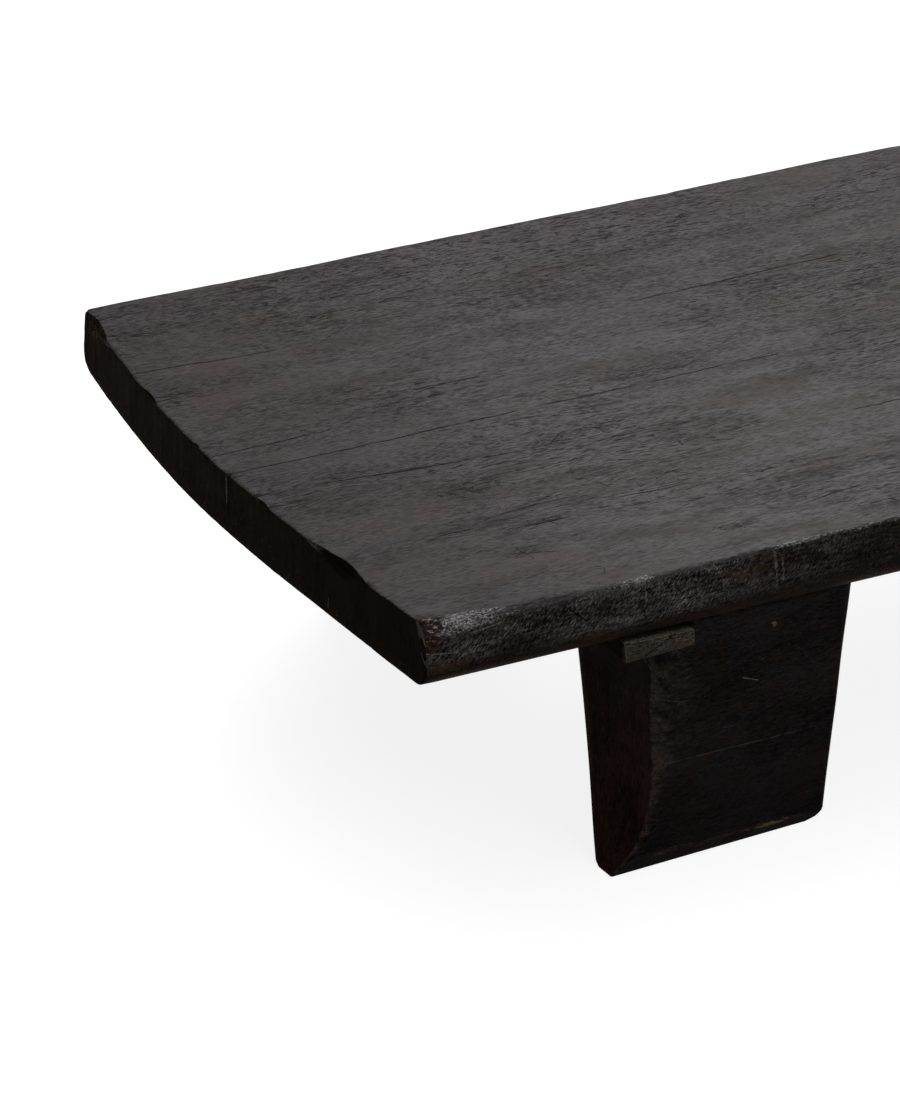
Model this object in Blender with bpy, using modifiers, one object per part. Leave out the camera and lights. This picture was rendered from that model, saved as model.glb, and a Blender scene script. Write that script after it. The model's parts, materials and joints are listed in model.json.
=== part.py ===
"""A low hardwood table: one dished slab on four wedge-shaped block legs, doweled and keyed to it.

Metres, +Z up. The origin is on the floor under the middle of the slab. +X runs along the slab and
its front long side faces -Y. The leg, its key and its dowels are drawn once, for the front left
corner, in a frame that stands on the floor under the middle of the foot.
"""

from math import pi, radians

import bmesh
import bpy
from mathutils import Matrix, Vector

NAME = "coffee_table"

# The slab
SLAB_LENGTH = 1.80  # over the crowns of both ends
SLAB_WIDTH = 0.764  # over the swell of both sides
SIDE_SWELL = 0.007  # how far each side stands out below its top edge
SLAB_THICKNESS = 0.063
SLAB_DISH = 0.020  # depth of the hollow along the middle of the top
TABLE_HEIGHT = 0.338  # floor to the long top edges
UNDER_EDGE_RADIUS = 0.030  # round between each long side and the underside
ARRIS_RADIUS = 0.003  # wear on the other edges

# The hewn ends. The right end is the left one turned half round.
CROWN_OFFSET = 0.115  # from the middle line back to the point that sticks out most
FRONT_SET_BACK = 0.018  # of the front corner behind the crown
BACK_SET_BACK = 0.010  # of the back corner behind the crown

# The legs
LEG_WIDTH = 0.226
LEG_END_INSET = 0.239  # from the crown of the slab's end to the outer face
LEG_SIDE_INSET = 0.021  # from the slab's side to the front face, at the shoulder
LEG_LEAN = 0.039  # how far the front face draws in from the shoulder to the floor
LEG_TOP_DEPTH = 0.143  # front to back at the shoulder
LEG_FOOT_DEPTH = 0.045
LEG_TURN = radians(2.6)  # about the vertical, as the leg was set by eye
LEG_FLANK_TWIST = 0.042  # how far the outer face, square at the floor, draws in at its front by the top
LEG_CORNER_RADIUS = 0.012
FOOT_EDGE_RADIUS = 0.009

# The keys
KEY_WIDTH = 0.074
KEY_HEIGHT = 0.020  # at the thick end
KEY_LENGTH = 0.135
KEY_DROP = 0.065  # from the slab's long top edge to the thick end's upper edge
KEY_SIDE_PROUD = 0.024  # beyond the leg's outer face
KEY_FRONT_PROUD = 0.008  # beyond the leg's front face at the shoulder
KEY_ARRIS = 0.0015

# The dowels
DOWEL_RADIUS = 0.014
DOWEL_SPACING = 0.085
DOWEL_IN_SLAB = 0.040
DOWEL_IN_LEG = 0.045
DOWEL_CHAMFER = 0.003

# Fits
JOINT_GAP = 0.0003  # between faces that touch
CUT_OVERSHOOT = 0.030  # how far a cutter runs past the wall that it cuts

# Fineness of the curved faces
CURVE_STEPS = 12
CORNER_STEPS = 4
DOWEL_SIDES = 24

# Colours: linear red, green, blue, then roughness
SLAB_FINISH = ((0.022, 0.017, 0.015), 0.45)
LEG_FINISH = ((0.014, 0.010, 0.009), 0.50)
KEY_FINISH = ((0.040, 0.031, 0.026), 0.60)
DOWEL_FINISH = ((0.090, 0.050, 0.028), 0.65)

# What the driving dimensions give
HALF_LENGTH = SLAB_LENGTH / 2
HALF_WIDTH = SLAB_WIDTH / 2
TOP_HALF_WIDTH = HALF_WIDTH - SIDE_SWELL
CIRCLE_HANDLE = 0.5523  # handle length of a quarter circle, over its radius
SHOULDER = TABLE_HEIGHT - SLAB_THICKNESS  # where the underside would meet the slab's side
FOOT_X = -HALF_LENGTH + LEG_END_INSET + LEG_WIDTH / 2
FOOT_Y = -HALF_WIDTH + LEG_SIDE_INSET + LEG_LEAN + LEG_FOOT_DEPTH / 2
SHOULDER_FRONT = -LEG_LEAN - LEG_FOOT_DEPTH / 2  # the front face at the shoulder, from the foot's middle
SHOULDER_BACK = SHOULDER_FRONT + LEG_TOP_DEPTH
DOWEL_Y = (SHOULDER_FRONT + SHOULDER_BACK) / 2
KEY_LEFT = -LEG_WIDTH / 2 - KEY_SIDE_PROUD
KEY_RIGHT = KEY_LEFT + KEY_WIDTH
KEY_FRONT = SHOULDER_FRONT - KEY_FRONT_PROUD
KEY_TOP = TABLE_HEIGHT - KEY_DROP
KEY_BOTTOM = KEY_TOP - KEY_HEIGHT
DOWEL_MIDDLE_X = (KEY_RIGHT + LEG_WIDTH / 2) / 2  # of the shoulder that the key leaves
DOWELS = {"outer": DOWEL_MIDDLE_X - DOWEL_SPACING / 2, "inner": DOWEL_MIDDLE_X + DOWEL_SPACING / 2}
# Each corner: side of the slab in X, in Y
CORNERS = {
    "front_left": (-1, -1),
    "front_right": (1, -1),
    "back_left": (-1, 1),
    "back_right": (1, 1),
}


def underside(y):
    """Height of the slab's underside at this distance from the middle line, short of the rounded edge."""
    return SHOULDER - SLAB_DISH * (1 - (y / TOP_HALF_WIDTH) ** 2)


def foot_frame(side_x, side_y):
    """The frame of one leg. The two back legs are turned half round, and two of the four are mirrored."""
    half_turn = pi if side_y > 0 else 0
    place = Matrix.Translation((side_x * -FOOT_X, side_y * -FOOT_Y, 0))
    return place @ Matrix.Rotation(half_turn - side_x * side_y * -LEG_TURN, 4, "Z")


def material(name, finish):
    colour, roughness = finish
    made = bpy.data.materials.new(name)
    made.use_nodes = True
    made.diffuse_color = (*colour, 1)
    shader = made.node_tree.nodes["Principled BSDF"]
    shader.inputs["Base Color"].default_value = (*colour, 1)
    shader.inputs["Roughness"].default_value = roughness
    shader.inputs["Metallic"].default_value = 0
    return made


def add_object(name, data, collection, matrix=Matrix.Identity(4)):
    made = bpy.data.objects.new(name, data)
    made.matrix_world = matrix
    collection.objects.link(made)
    return made


def add_cutter(name, data, matrix=Matrix.Identity(4)):
    made = add_object(name, data, bpy.data.collections["cutters"], matrix)
    made.hide_render = True
    made.display_type = "WIRE"
    return made


def add_boolean(obj, operation, cutter):
    made = obj.modifiers.new(f"{operation.lower()} {cutter.name}", "BOOLEAN")
    made.operation = operation
    made.solver = "EXACT"
    made.object = cutter


def evaluated_mesh(obj, name):
    """The object's mesh with its modifiers applied and its doubled points merged."""
    graph = bpy.context.evaluated_depsgraph_get()
    mesh = bpy.data.meshes.new_from_object(obj.evaluated_get(graph))
    mesh.name = name
    work = bmesh.new()
    work.from_mesh(mesh)
    bmesh.ops.remove_doubles(work, verts=work.verts, dist=1e-5)
    bmesh.ops.recalc_face_normals(work, faces=work.faces)
    work.to_mesh(mesh)
    work.free()
    return mesh


def prism(name, knots, half_depth, matrix=Matrix.Identity(4)):
    """A solid between two copies of a closed outline. A knot is its point, the handle that leads to it
    and the one that leads on, and a stretch with no handles is straight."""
    curve = bpy.data.curves.new(name, "CURVE")
    curve.dimensions = "2D"
    curve.fill_mode = "BOTH"
    curve.extrude = half_depth
    curve.resolution_u = CURVE_STEPS
    spline = curve.splines.new("BEZIER")
    spline.use_cyclic_u = True
    spline.bezier_points.add(len(knots) - 1)
    for knot, (point, before, after) in zip(spline.bezier_points, knots):
        knot.co = (*point, 0)
        knot.handle_left_type = "FREE" if before else "VECTOR"
        knot.handle_right_type = "FREE" if after else "VECTOR"
        knot.handle_left = (*(before or point), 0)
        knot.handle_right = (*(after or point), 0)
    outline = add_cutter(f"{name}_outline", curve, matrix)
    return add_cutter(name, evaluated_mesh(outline, name), matrix)


def section_prism():
    """The slab's cross section, run past both ends. Top and underside are parallel parabolas."""
    inner = HALF_WIDTH - UNDER_EDGE_RADIUS
    reach = UNDER_EDGE_RADIUS * CIRCLE_HANDLE
    slope = 2 * SLAB_DISH * inner / TOP_HALF_WIDTH**2
    top_handle = TABLE_HEIGHT - SLAB_DISH * 4 / 3
    low_handle = underside(inner) - (underside(inner) - underside(0)) * 4 / 3
    widest = SHOULDER + UNDER_EDGE_RADIUS
    side_reach = (TABLE_HEIGHT - widest) / 2
    half = [
        (
            (TOP_HALF_WIDTH, TABLE_HEIGHT),
            (TOP_HALF_WIDTH / 3, top_handle),
            (TOP_HALF_WIDTH + SIDE_SWELL / 2, TABLE_HEIGHT - side_reach / 2),
        ),
        ((HALF_WIDTH, widest), (HALF_WIDTH, widest + side_reach), (HALF_WIDTH, widest - reach)),
        (
            (inner, underside(inner)),
            (inner + reach, underside(inner) + slope * reach),
            (inner / 3, low_handle),
        ),
    ]
    mirrored = [
        tuple(place and (-place[0], place[1]) for place in (point, after, before))
        for point, before, after in reversed(half)
    ]
    along_x = Matrix.Rotation(pi / 2, 4, "Z") @ Matrix.Rotation(pi / 2, 4, "X")
    return prism("slab_section", half + mirrored, HALF_LENGTH + CUT_OVERSHOOT, along_x)


def plan_prism():
    """The slab's outline from above: two hewn ends, and sides that lie clear of the section."""
    crown, front, back = -HALF_LENGTH, -HALF_LENGTH + FRONT_SET_BACK, -HALF_LENGTH + BACK_SET_BACK
    clear = HALF_WIDTH + CUT_OVERSHOOT
    to_front, to_back = HALF_WIDTH + CROWN_OFFSET, HALF_WIDTH - CROWN_OFFSET
    left = [
        ((back, clear), None, None),
        ((back, HALF_WIDTH), None, ((back + crown) / 2, HALF_WIDTH - to_back / 3)),
        (
            (crown, CROWN_OFFSET),
            (crown, CROWN_OFFSET + to_back / 3),
            (crown, CROWN_OFFSET - to_front / 4),
        ),
        ((front, -HALF_WIDTH), (front, -HALF_WIDTH + to_front / 2), None),
        ((front, -clear), None, None),
    ]
    right = [tuple(place and (-place[0], -place[1]) for place in knot) for knot in left]
    middle = Matrix.Translation((0, 0, TABLE_HEIGHT - SLAB_THICKNESS / 2))
    return prism("slab_plan", left + right, SLAB_THICKNESS / 2 + SLAB_DISH + CUT_OVERSHOOT, middle)


def slab_body():
    """The slab before it is drilled."""
    body = section_prism()
    add_boolean(body, "INTERSECT", plan_prism())
    wear = body.modifiers.new("worn arrises", "BEVEL")
    wear.width = ARRIS_RADIUS
    wear.segments = 2
    wear.limit_method = "ANGLE"
    wear.angle_limit = radians(45)
    wear.use_clamp_overlap = False
    mesh = evaluated_mesh(body, "slab_body")
    mesh.transform(body.matrix_world)
    return mesh


def block(name, low, high, arris=0):
    """A box between two corners, with its edges worn by this much."""
    work = bmesh.new()
    bmesh.ops.create_cube(work, size=1)
    size = Vector(high) - Vector(low)
    bmesh.ops.scale(work, verts=work.verts, vec=size)
    bmesh.ops.translate(work, verts=work.verts, vec=Vector(low) + size / 2)
    if arris:
        bmesh.ops.bevel(work, geom=work.edges, offset=arris, segments=2, profile=0.5, affect="EDGES")
    mesh = bpy.data.meshes.new(name)
    work.to_mesh(mesh)
    work.free()
    return mesh


def leg_block():
    """The leg before it is fitted: a wedge that runs up into the slab, with rounded corners and foot."""
    top = TABLE_HEIGHT - SLAB_DISH - SLAB_THICKNESS / 2
    rise = top / SHOULDER
    foot = LEG_FOOT_DEPTH / 2
    top_front = -foot + (SHOULDER_FRONT + foot) * rise
    top_back = foot + (SHOULDER_BACK - foot) * rise
    mesh = block("leg_block", (-LEG_WIDTH / 2, -foot, 0), (LEG_WIDTH / 2, foot, top))
    work = bmesh.new()
    work.from_mesh(mesh)
    for corner in work.verts:
        if corner.co.z > top / 2:
            is_front = corner.co.y < 0
            corner.co.y = top_front if is_front else top_back
            if is_front and corner.co.x < 0:
                corner.co.x += LEG_FLANK_TWIST
    upright = [e for e in work.edges if abs(e.verts[0].co.z - e.verts[1].co.z) > top / 2]
    bmesh.ops.bevel(
        work,
        geom=upright,
        offset=min(LEG_CORNER_RADIUS, LEG_FOOT_DEPTH * 0.45),
        segments=CORNER_STEPS,
        profile=0.5,
        affect="EDGES",
    )
    sole = [e for e in work.edges if max(v.co.z for v in e.verts) < FOOT_EDGE_RADIUS / 2]
    bmesh.ops.bevel(
        work, geom=sole, offset=FOOT_EDGE_RADIUS, segments=2, profile=0.5, affect="EDGES"
    )
    bmesh.ops.triangulate(work, faces=work.faces)  # the twisted face isn't flat, and the cuts need flat ones
    work.to_mesh(mesh)
    work.free()
    return mesh


def peg(name, radius, low, high, chamfer=0):
    """An upright round peg at the origin, between two heights."""
    work = bmesh.new()
    bmesh.ops.create_cone(
        work,
        cap_ends=True,
        segments=DOWEL_SIDES,
        radius1=radius,
        radius2=radius,
        depth=high - low,
        matrix=Matrix.Translation((0, 0, (low + high) / 2)),
    )
    if chamfer:
        rims = [e for e in work.edges if e.verts[0].co.z == e.verts[1].co.z]
        bmesh.ops.bevel(work, geom=rims, offset=chamfer, segments=1, profile=0.5, affect="EDGES")
    mesh = bpy.data.meshes.new(name)
    work.to_mesh(mesh)
    work.free()
    return mesh


def mirrored_copy(mesh):
    """The same piece for the other hand."""
    made = mesh.copy()
    made.name = f"{mesh.name}_mirrored"
    made.transform(Matrix.Scale(-1, 4, (1, 0, 0)))
    made.flip_normals()
    return made


def build():
    for old in list(bpy.data.objects):
        bpy.data.objects.remove(old)
    table = bpy.data.collections.new(NAME)
    cutters = bpy.data.collections.new("cutters")
    for collection in (table, cutters):
        bpy.context.scene.collection.children.link(collection)

    body = slab_body()
    seat = add_cutter("slab_seat", body, Matrix.Translation((0, 0, -JOINT_GAP)))
    joint_height = underside(FOOT_Y + DOWEL_Y)
    dowel_low, dowel_high = joint_height - DOWEL_IN_LEG, joint_height + DOWEL_IN_SLAB
    hole = peg("dowel_hole", DOWEL_RADIUS + JOINT_GAP, dowel_low - JOINT_GAP, dowel_high + JOINT_GAP)

    # One leg and one key, fitted under the front left corner
    frame = foot_frame(*CORNERS["front_left"])
    key_blank = block(
        "key_blank",
        (KEY_LEFT, KEY_FRONT, KEY_BOTTOM),
        (KEY_RIGHT, KEY_FRONT + KEY_LENGTH, KEY_TOP),
        KEY_ARRIS,
    )
    rebate = block(
        "key_rebate",
        (KEY_LEFT - CUT_OVERSHOOT, KEY_FRONT - CUT_OVERSHOOT, KEY_BOTTOM - JOINT_GAP),
        (KEY_RIGHT + JOINT_GAP, SHOULDER_BACK + CUT_OVERSHOOT, TABLE_HEIGHT),
    )
    leg_work = add_cutter("leg_work", leg_block(), frame)
    add_boolean(leg_work, "DIFFERENCE", seat)
    add_boolean(leg_work, "DIFFERENCE", add_cutter("key_rebate", rebate, frame))
    for place, x in DOWELS.items():
        at = frame @ Matrix.Translation((x, DOWEL_Y, 0))
        add_boolean(leg_work, "DIFFERENCE", add_cutter(f"leg_hole_{place}", hole, at))
    key_work = add_cutter("key_work", key_blank, frame)
    add_boolean(key_work, "DIFFERENCE", seat)
    leg_mesh = evaluated_mesh(leg_work, "leg")
    key_mesh = evaluated_mesh(key_work, "key")
    dowel_mesh = peg("dowel", DOWEL_RADIUS, dowel_low, dowel_high, DOWEL_CHAMFER)
    leg_mesh.materials.append(material("leg_wood", LEG_FINISH))
    key_mesh.materials.append(material("key_wood", KEY_FINISH))
    dowel_mesh.materials.append(material("dowel_wood", DOWEL_FINISH))

    # The slab with a pair of holes over every leg, and the pieces in their places
    body.materials.append(material("slab_wood", SLAB_FINISH))
    slab = add_object("tabletop_slab", body, table)
    hands = {False: (leg_mesh, key_mesh), True: (mirrored_copy(leg_mesh), mirrored_copy(key_mesh))}
    for corner, (side_x, side_y) in CORNERS.items():
        mirrored = side_x != side_y
        frame = foot_frame(side_x, side_y)
        leg, key = hands[mirrored]
        add_object(f"leg_{corner}", leg, table, frame)
        add_object(f"key_{corner}", key, table, frame)
        for place, x in DOWELS.items():
            at = frame @ Matrix.Translation((-x if mirrored else x, DOWEL_Y, 0))
            add_object(f"dowel_{corner}_{place}", dowel_mesh, table, at)
            add_boolean(slab, "DIFFERENCE", add_cutter(f"slab_hole_{corner}_{place}", hole, at))


build()
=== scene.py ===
# %% [markdown]
# # A hewn hardwood coffee table
# The real table is one thick, dished board on four wedge-shaped legs, all of dark, worn hardwood.
# Its solids are already made, so this lesson dresses them: it measures a solid, models the hewn
# piece that stands in its place, and gives it a timber finish made of shader nodes alone.

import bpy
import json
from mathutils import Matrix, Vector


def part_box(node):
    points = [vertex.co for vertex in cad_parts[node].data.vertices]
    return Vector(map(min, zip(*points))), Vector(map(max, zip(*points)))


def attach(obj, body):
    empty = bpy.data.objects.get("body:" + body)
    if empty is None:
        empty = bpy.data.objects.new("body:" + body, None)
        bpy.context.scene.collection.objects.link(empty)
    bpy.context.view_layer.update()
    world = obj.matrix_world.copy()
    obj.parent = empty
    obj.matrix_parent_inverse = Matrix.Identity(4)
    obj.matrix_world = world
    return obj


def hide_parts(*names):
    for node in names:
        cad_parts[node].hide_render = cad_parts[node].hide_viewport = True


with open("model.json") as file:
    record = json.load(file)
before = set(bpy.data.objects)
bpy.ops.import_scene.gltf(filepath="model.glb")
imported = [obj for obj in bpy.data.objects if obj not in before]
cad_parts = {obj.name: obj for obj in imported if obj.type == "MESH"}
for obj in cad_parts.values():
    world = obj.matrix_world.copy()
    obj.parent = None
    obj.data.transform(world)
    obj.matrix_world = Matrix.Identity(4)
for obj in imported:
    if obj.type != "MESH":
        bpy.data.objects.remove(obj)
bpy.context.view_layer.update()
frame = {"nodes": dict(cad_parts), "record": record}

# %% Blender's own tools
import json
from functools import reduce
from math import exp, hypot, pi, radians, sqrt

import bmesh
import bpy
from mathutils import Matrix, Vector, noise
from mathutils.bvhtree import BVHTree

# %% [markdown]
# ## The camera
# The photographer stood off the front left corner with a long lens, which keeps the far edge of the
# top almost as long as the near one. A lens is easier to compare with a picture when it is written
# as a focal length in pixels, so Blender's millimetres are worked out from that.

# %% Camera
PHOTO_HEIGHT = 1108  # pixels, the long side of the frame
FOCAL_LENGTH = 5300  # pixels
VIEW_TURN = radians(26.4)  # to the right of straight ahead
VIEW_TILT = radians(27.36)  # below the horizon
CAMERA_PLACE = (-2.676, -4.039, 2.522)

camera = bpy.data.objects.new("camera", bpy.data.cameras.new("camera"))
camera.data.sensor_width = 36
camera.data.lens = FOCAL_LENGTH / PHOTO_HEIGHT * camera.data.sensor_width
camera.location = CAMERA_PLACE
camera.rotation_euler = (pi / 2 - VIEW_TILT, 0, -VIEW_TURN)
bpy.context.scene.collection.objects.link(camera)
bpy.context.scene.camera = camera
print(f"lens {camera.data.lens:.1f} mm")

# %% [markdown]
# ## Shader nodes in one line each
# A material is a small tree of nodes. Adding a node, setting it and wiring it takes several lines, so
# these helpers do it in one: what is given for a socket may be a number, a colour or another socket.
# A socket knows which tree it is in, so a node that is wired to one needs no other address.


# %% Node helpers
def add_node(tree, kind, sockets=None, **settings):
    """A new node. Its sockets are set to values, or wired to the outputs that are given for them."""
    made = tree.nodes.new(kind)
    for name, value in settings.items():
        setattr(made, name, value)
    for name, value in (sockets or {}).items():
        if isinstance(value, bpy.types.NodeSocket):
            tree.links.new(value, made.inputs[name])
        else:
            made.inputs[name].default_value = value
    return made


def wired(kind, sockets, **settings):
    """A new node in the tree of the outputs that it is wired to."""
    tree = next(value.id_data for value in sockets.values() if isinstance(value, bpy.types.NodeSocket))
    return add_node(tree, kind, sockets, **settings)


def math(operation, first, second=0.0):
    return wired("ShaderNodeMath", {0: first, 1: second}, operation=operation).outputs[0]


def plus(first, second):
    return math("ADD", first, second)


def minus(first, second):
    return math("SUBTRACT", first, second)


def times(first, second):
    return math("MULTIPLY", first, second)


def strongest(*masks):
    return reduce(lambda first, second: math("MAXIMUM", first, second), masks)


def weigh(*pairs):
    """The sum of some values, each times its weight."""
    return reduce(plus, [times(value, weight) for value, weight in pairs])


def step(value, low, high, to_low=0.0, to_high=1.0):
    """A smooth change from one level to another, between two values."""
    wires = {"Value": value, "From Min": low, "From Max": high, "To Min": to_low, "To Max": to_high}
    return wired("ShaderNodeMapRange", wires, interpolation_type="SMOOTHSTEP").outputs[0]


def vector_math(operation, first, second):
    return wired("ShaderNodeVectorMath", {0: first, 1: second}, operation=operation).outputs[0]


def axes_of(place):
    return wired("ShaderNodeSeparateXYZ", {0: place}).outputs


def mix_colour(factor, first, second):
    """A colour between two others, each a wire or a linear red, green and blue."""
    first, second = ((*c, 1) if isinstance(c, tuple) else c for c in (first, second))
    return wired("ShaderNodeMix", {0: factor, 6: first, 7: second}, data_type="RGBA").outputs[2]


def paint(colour, mask, strength, over):
    """A colour with another one laid over it where a mask shows, at this strength."""
    return mix_colour(times(mask, strength), colour, over)


def cloud(place, along, across, detail=3.0, roughness=0.5):
    """Noise between nought and one, scaled by one value along the grain and by another across it."""
    place = vector_math("MULTIPLY", place, (along, across, across))
    wires = {"Vector": place, "Scale": 1.0, "Detail": detail, "Roughness": roughness}
    return wired("ShaderNodeTexNoise", wires).outputs["Fac"]


def swing(size, *place_and_scales):
    """The same noise about nought, times a size."""
    return times(minus(cloud(*place_and_scales), 0.5), size)


def patches(place, along, across, *levels):
    """Ragged patches: the same noise, which changes from one level to another."""
    return step(cloud(place, along, across, 4.0, 0.6), *levels)


def attribute(tree, name):
    return add_node(tree, "ShaderNodeAttribute", attribute_name=name).outputs["Fac"]


# %% [markdown]
# ## Floor and light
# The photograph has a plain white ground. The floor is white to the camera and to reflections and
# grey to the light that bounces, so it doesn't flood the dark wood from below, and it still takes the
# table's shadow. A broad sun behind the table stands for the soft window light that puts the sheen on
# the top, and a weak one in front keeps the legs from going black.

# %% Floor
FLOOR_HALF = 60.0
FLOOR_DROP = 0.0004  # below the soles, so that the two faces don't fight
FLOOR_LIFT = 0.85  # light that the floor adds for the camera, to reach white

stage = bmesh.new()
bmesh.ops.create_grid(stage, x_segments=1, y_segments=1, size=FLOOR_HALF)
bmesh.ops.translate(stage, verts=stage.verts, vec=(0, 0, -FLOOR_DROP))
floor = bpy.data.objects.new("floor", bpy.data.meshes.new("floor"))
stage.to_mesh(floor.data)
stage.free()
bpy.context.scene.collection.objects.link(floor)


def seen_rays(tree):
    """One for rays from the camera, reflections and glass, and nought for the light that bounces."""
    rays = add_node(tree, "ShaderNodeLightPath").outputs
    return strongest(rays["Is Camera Ray"], rays["Is Glossy Ray"], rays["Is Transmission Ray"])


paper = bpy.data.materials.new("white_ground")
paper.use_nodes = True
tree = paper.node_tree
tree.nodes.clear()
grey = add_node(tree, "ShaderNodeBsdfDiffuse", {"Color": (0.35, 0.35, 0.35, 1)})
white = add_node(tree, "ShaderNodeBsdfDiffuse", {"Color": (0.40, 0.40, 0.40, 1)})
lift = add_node(tree, "ShaderNodeEmission", {"Strength": FLOOR_LIFT})
lit = add_node(tree, "ShaderNodeAddShader", {0: white.outputs[0], 1: lift.outputs[0]})
ground = add_node(tree, "ShaderNodeMixShader", {0: seen_rays(tree), 1: grey.outputs[0], 2: lit.outputs[0]})
add_node(tree, "ShaderNodeOutputMaterial", {"Surface": ground.outputs[0]})
floor.data.materials.append(paper)

# %% World and lamps
AMBIENT = 0.26

world = bpy.data.worlds.new("white_room")
world.use_nodes = True
tree = world.node_tree
tree.nodes.clear()
level = step(seen_rays(tree), 0.0, 1.0, AMBIENT, 1.0)
sky = add_node(tree, "ShaderNodeBackground", {"Strength": level})
add_node(tree, "ShaderNodeOutputWorld", {"Surface": sky.outputs[0]})
bpy.context.scene.world = world


def add_sun(name, strength, spread, tilt, turn):
    """A lamp as wide as this angle, tilted from straight down and turned about the vertical."""
    lamp = bpy.data.lights.new(name, "SUN")
    lamp.energy = strength
    lamp.angle = spread
    made = bpy.data.objects.new(name, lamp)
    made.rotation_euler = (tilt, 0, turn)
    bpy.context.scene.collection.objects.link(made)


add_sun("overhead", 1.2, radians(80), radians(20), radians(150))
add_sun("window", 1.0, radians(24), radians(57), radians(142))
add_sun("front_fill", 0.45, radians(60), radians(52), radians(25))
bpy.context.scene.view_settings.view_transform = "Standard"
print("stage: floor, world and 3 lamps")

# %% [markdown]
# ## Timber grain as a node group
# Every piece is the same kind of wood. One group makes its grain once: clouds that are stretched along
# the first axis turn into fibres and streaks, a slow bend keeps them from being ruled straight, and
# the thin contour lines of a stretched cloud, broken into dashes, become drying checks. A material
# feeds it a place, so the grain of a leg's flank can stand upright while that of the top lies along.


# %% Timber grain
def new_group(name, inputs, outputs):
    """An empty shader group. Inputs are names with their kinds, and outputs are numbers."""
    group = bpy.data.node_groups.new(name, "ShaderNodeTree")
    for label, kind in inputs.items():
        group.interface.new_socket(label, in_out="INPUT", socket_type=f"NodeSocket{kind}")
    for label in outputs:
        group.interface.new_socket(label, in_out="OUTPUT", socket_type="NodeSocketFloat")
    return group, add_node(group, "NodeGroupInput").outputs


def shifted(place, shift):
    """A place moved this far across the grain."""
    return vector_math("ADD", place, wired("ShaderNodeCombineXYZ", {"Y": shift, "Z": shift}).outputs[0])


def grain_group():
    outputs = ("Fibre", "Streak", "Crumple", "Mottle", "Patch", "Check")
    group, given = new_group("timber_grain", {"Place": "Vector"}, outputs)
    place = given["Place"]
    bent = shifted(place, swing(0.045, place, 1.6, 5.0, 2.0))

    fibre = cloud(bent, 95.0, 560.0, 3.0, 0.7)
    streak = cloud(bent, 3.4, 46.0, 5.0, 0.62)
    crumple = cloud(bent, 26.0, 85.0, 4.0, 0.6)
    mottle = cloud(place, 14.0, 22.0, 5.0, 0.6)
    patch = cloud(bent, 5.0, 17.0, 4.0, 0.6)

    crowd = step(cloud(place, 3.2, 7.0, 2.0), 0.42, 0.58)
    curled = shifted(bent, swing(0.008, place, 22.0, 34.0, 2.0))
    lines = []
    for along, across, width in ((4.0, 60.0, 0.010), (11.0, 150.0, 0.022), (24.0, 300.0, 0.036)):
        ridge = minus(cloud(curled, along, across, 1.0, 0.4), 0.5)
        thin = step(math("ABSOLUTE", ridge), width * 0.3, width, 1.0, 0.0)
        dashes = step(cloud(curled, along * 4, across * 1.6, 1.0), 0.52, 0.58)
        lines.append(times(thin, dashes))
    check = times(strongest(*lines), crowd)
    wires = {"Fibre": fibre, "Streak": streak, "Crumple": crumple, "Mottle": mottle, "Patch": patch}
    wired("NodeGroupOutput", {**wires, "Check": check})
    return group


TIMBER_GRAIN = grain_group()
print("node group:", TIMBER_GRAIN.name)

# %% [markdown]
# ## Knocks and scratches as node groups
# A table like this carries marks that no noise gives: a chip, a knot, one long scratch. A knock is a
# blot around a place with a ragged rim. A scratch is a thin line, where one coordinate follows a
# gentle curve of another. Both give a mask from 0 to 1 that a material can paint with.


# %% Knock and scratch
def knock_group():
    group, given = new_group("knock", {"Place": "Vector", "Centre": "Vector", "Size": "Vector"}, ("Mask",))
    off = vector_math("SUBTRACT", given["Place"], given["Centre"])
    off = vector_math("DIVIDE", off, given["Size"])  # one size away from the centre is 1
    far = wired("ShaderNodeVectorMath", {0: off}, operation="LENGTH").outputs["Value"]
    far = plus(far, swing(3.2, given["Place"], 170.0, 420.0, 3.0, 0.65))
    wired("NodeGroupOutput", {"Mask": step(far, 0.45, 1.0, 1.0, 0.0)})
    return group


def scratch_group():
    names = ("U", "V", "From", "To", "Start", "Slope", "Half", "Bow")
    group, given = new_group("scratch", dict.fromkeys(names, "Float"), ("Mask",))
    run = minus(given["U"], given["From"])
    course = times(run, plus(given["Slope"], times(run, given["Bow"])))
    off = minus(given["V"], plus(given["Start"], course))
    off = math("DIVIDE", math("ABSOLUTE", off), given["Half"])
    line = step(off, 0.5, 1.3, 1.0, 0.0)
    begins = math("GREATER_THAN", given["U"], given["From"])
    ends = math("LESS_THAN", given["U"], given["To"])
    wired("NodeGroupOutput", {"Mask": times(line, times(begins, ends))})
    return group


KNOCK = knock_group()
SCRATCH = scratch_group()


def use(group, sockets):
    """The outputs of a group that is placed in a material."""
    return wired("ShaderNodeGroup", sockets, node_tree=group).outputs


def knocks(place, *marks):
    """The mask of some knocks, each with its centre and its size."""
    return strongest(*(use(KNOCK, {"Place": place, "Centre": c, "Size": s})[0] for c, s in marks))


def scratches(u, v, *marks):
    """The mask of some scratches: where each begins and ends, its level, slope, half width and bow."""
    labels = ("From", "To", "Start", "Slope", "Half", "Bow")  # a straight one leaves out its bow
    return strongest(*(use(SCRATCH, {"U": u, "V": v, **dict(zip(labels, m))})[0] for m in marks))


print("node groups:", KNOCK.name, SCRATCH.name)

# %% [markdown]
# ## Starting and ending a wood finish
# Each finish starts from the same shader. Its specular level is low, because old wax on open-grained
# wood reflects far less than varnish. Each one ends in a colour, a roughness and a height in
# millimetres, which a Bump node turns into fine relief.


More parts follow.
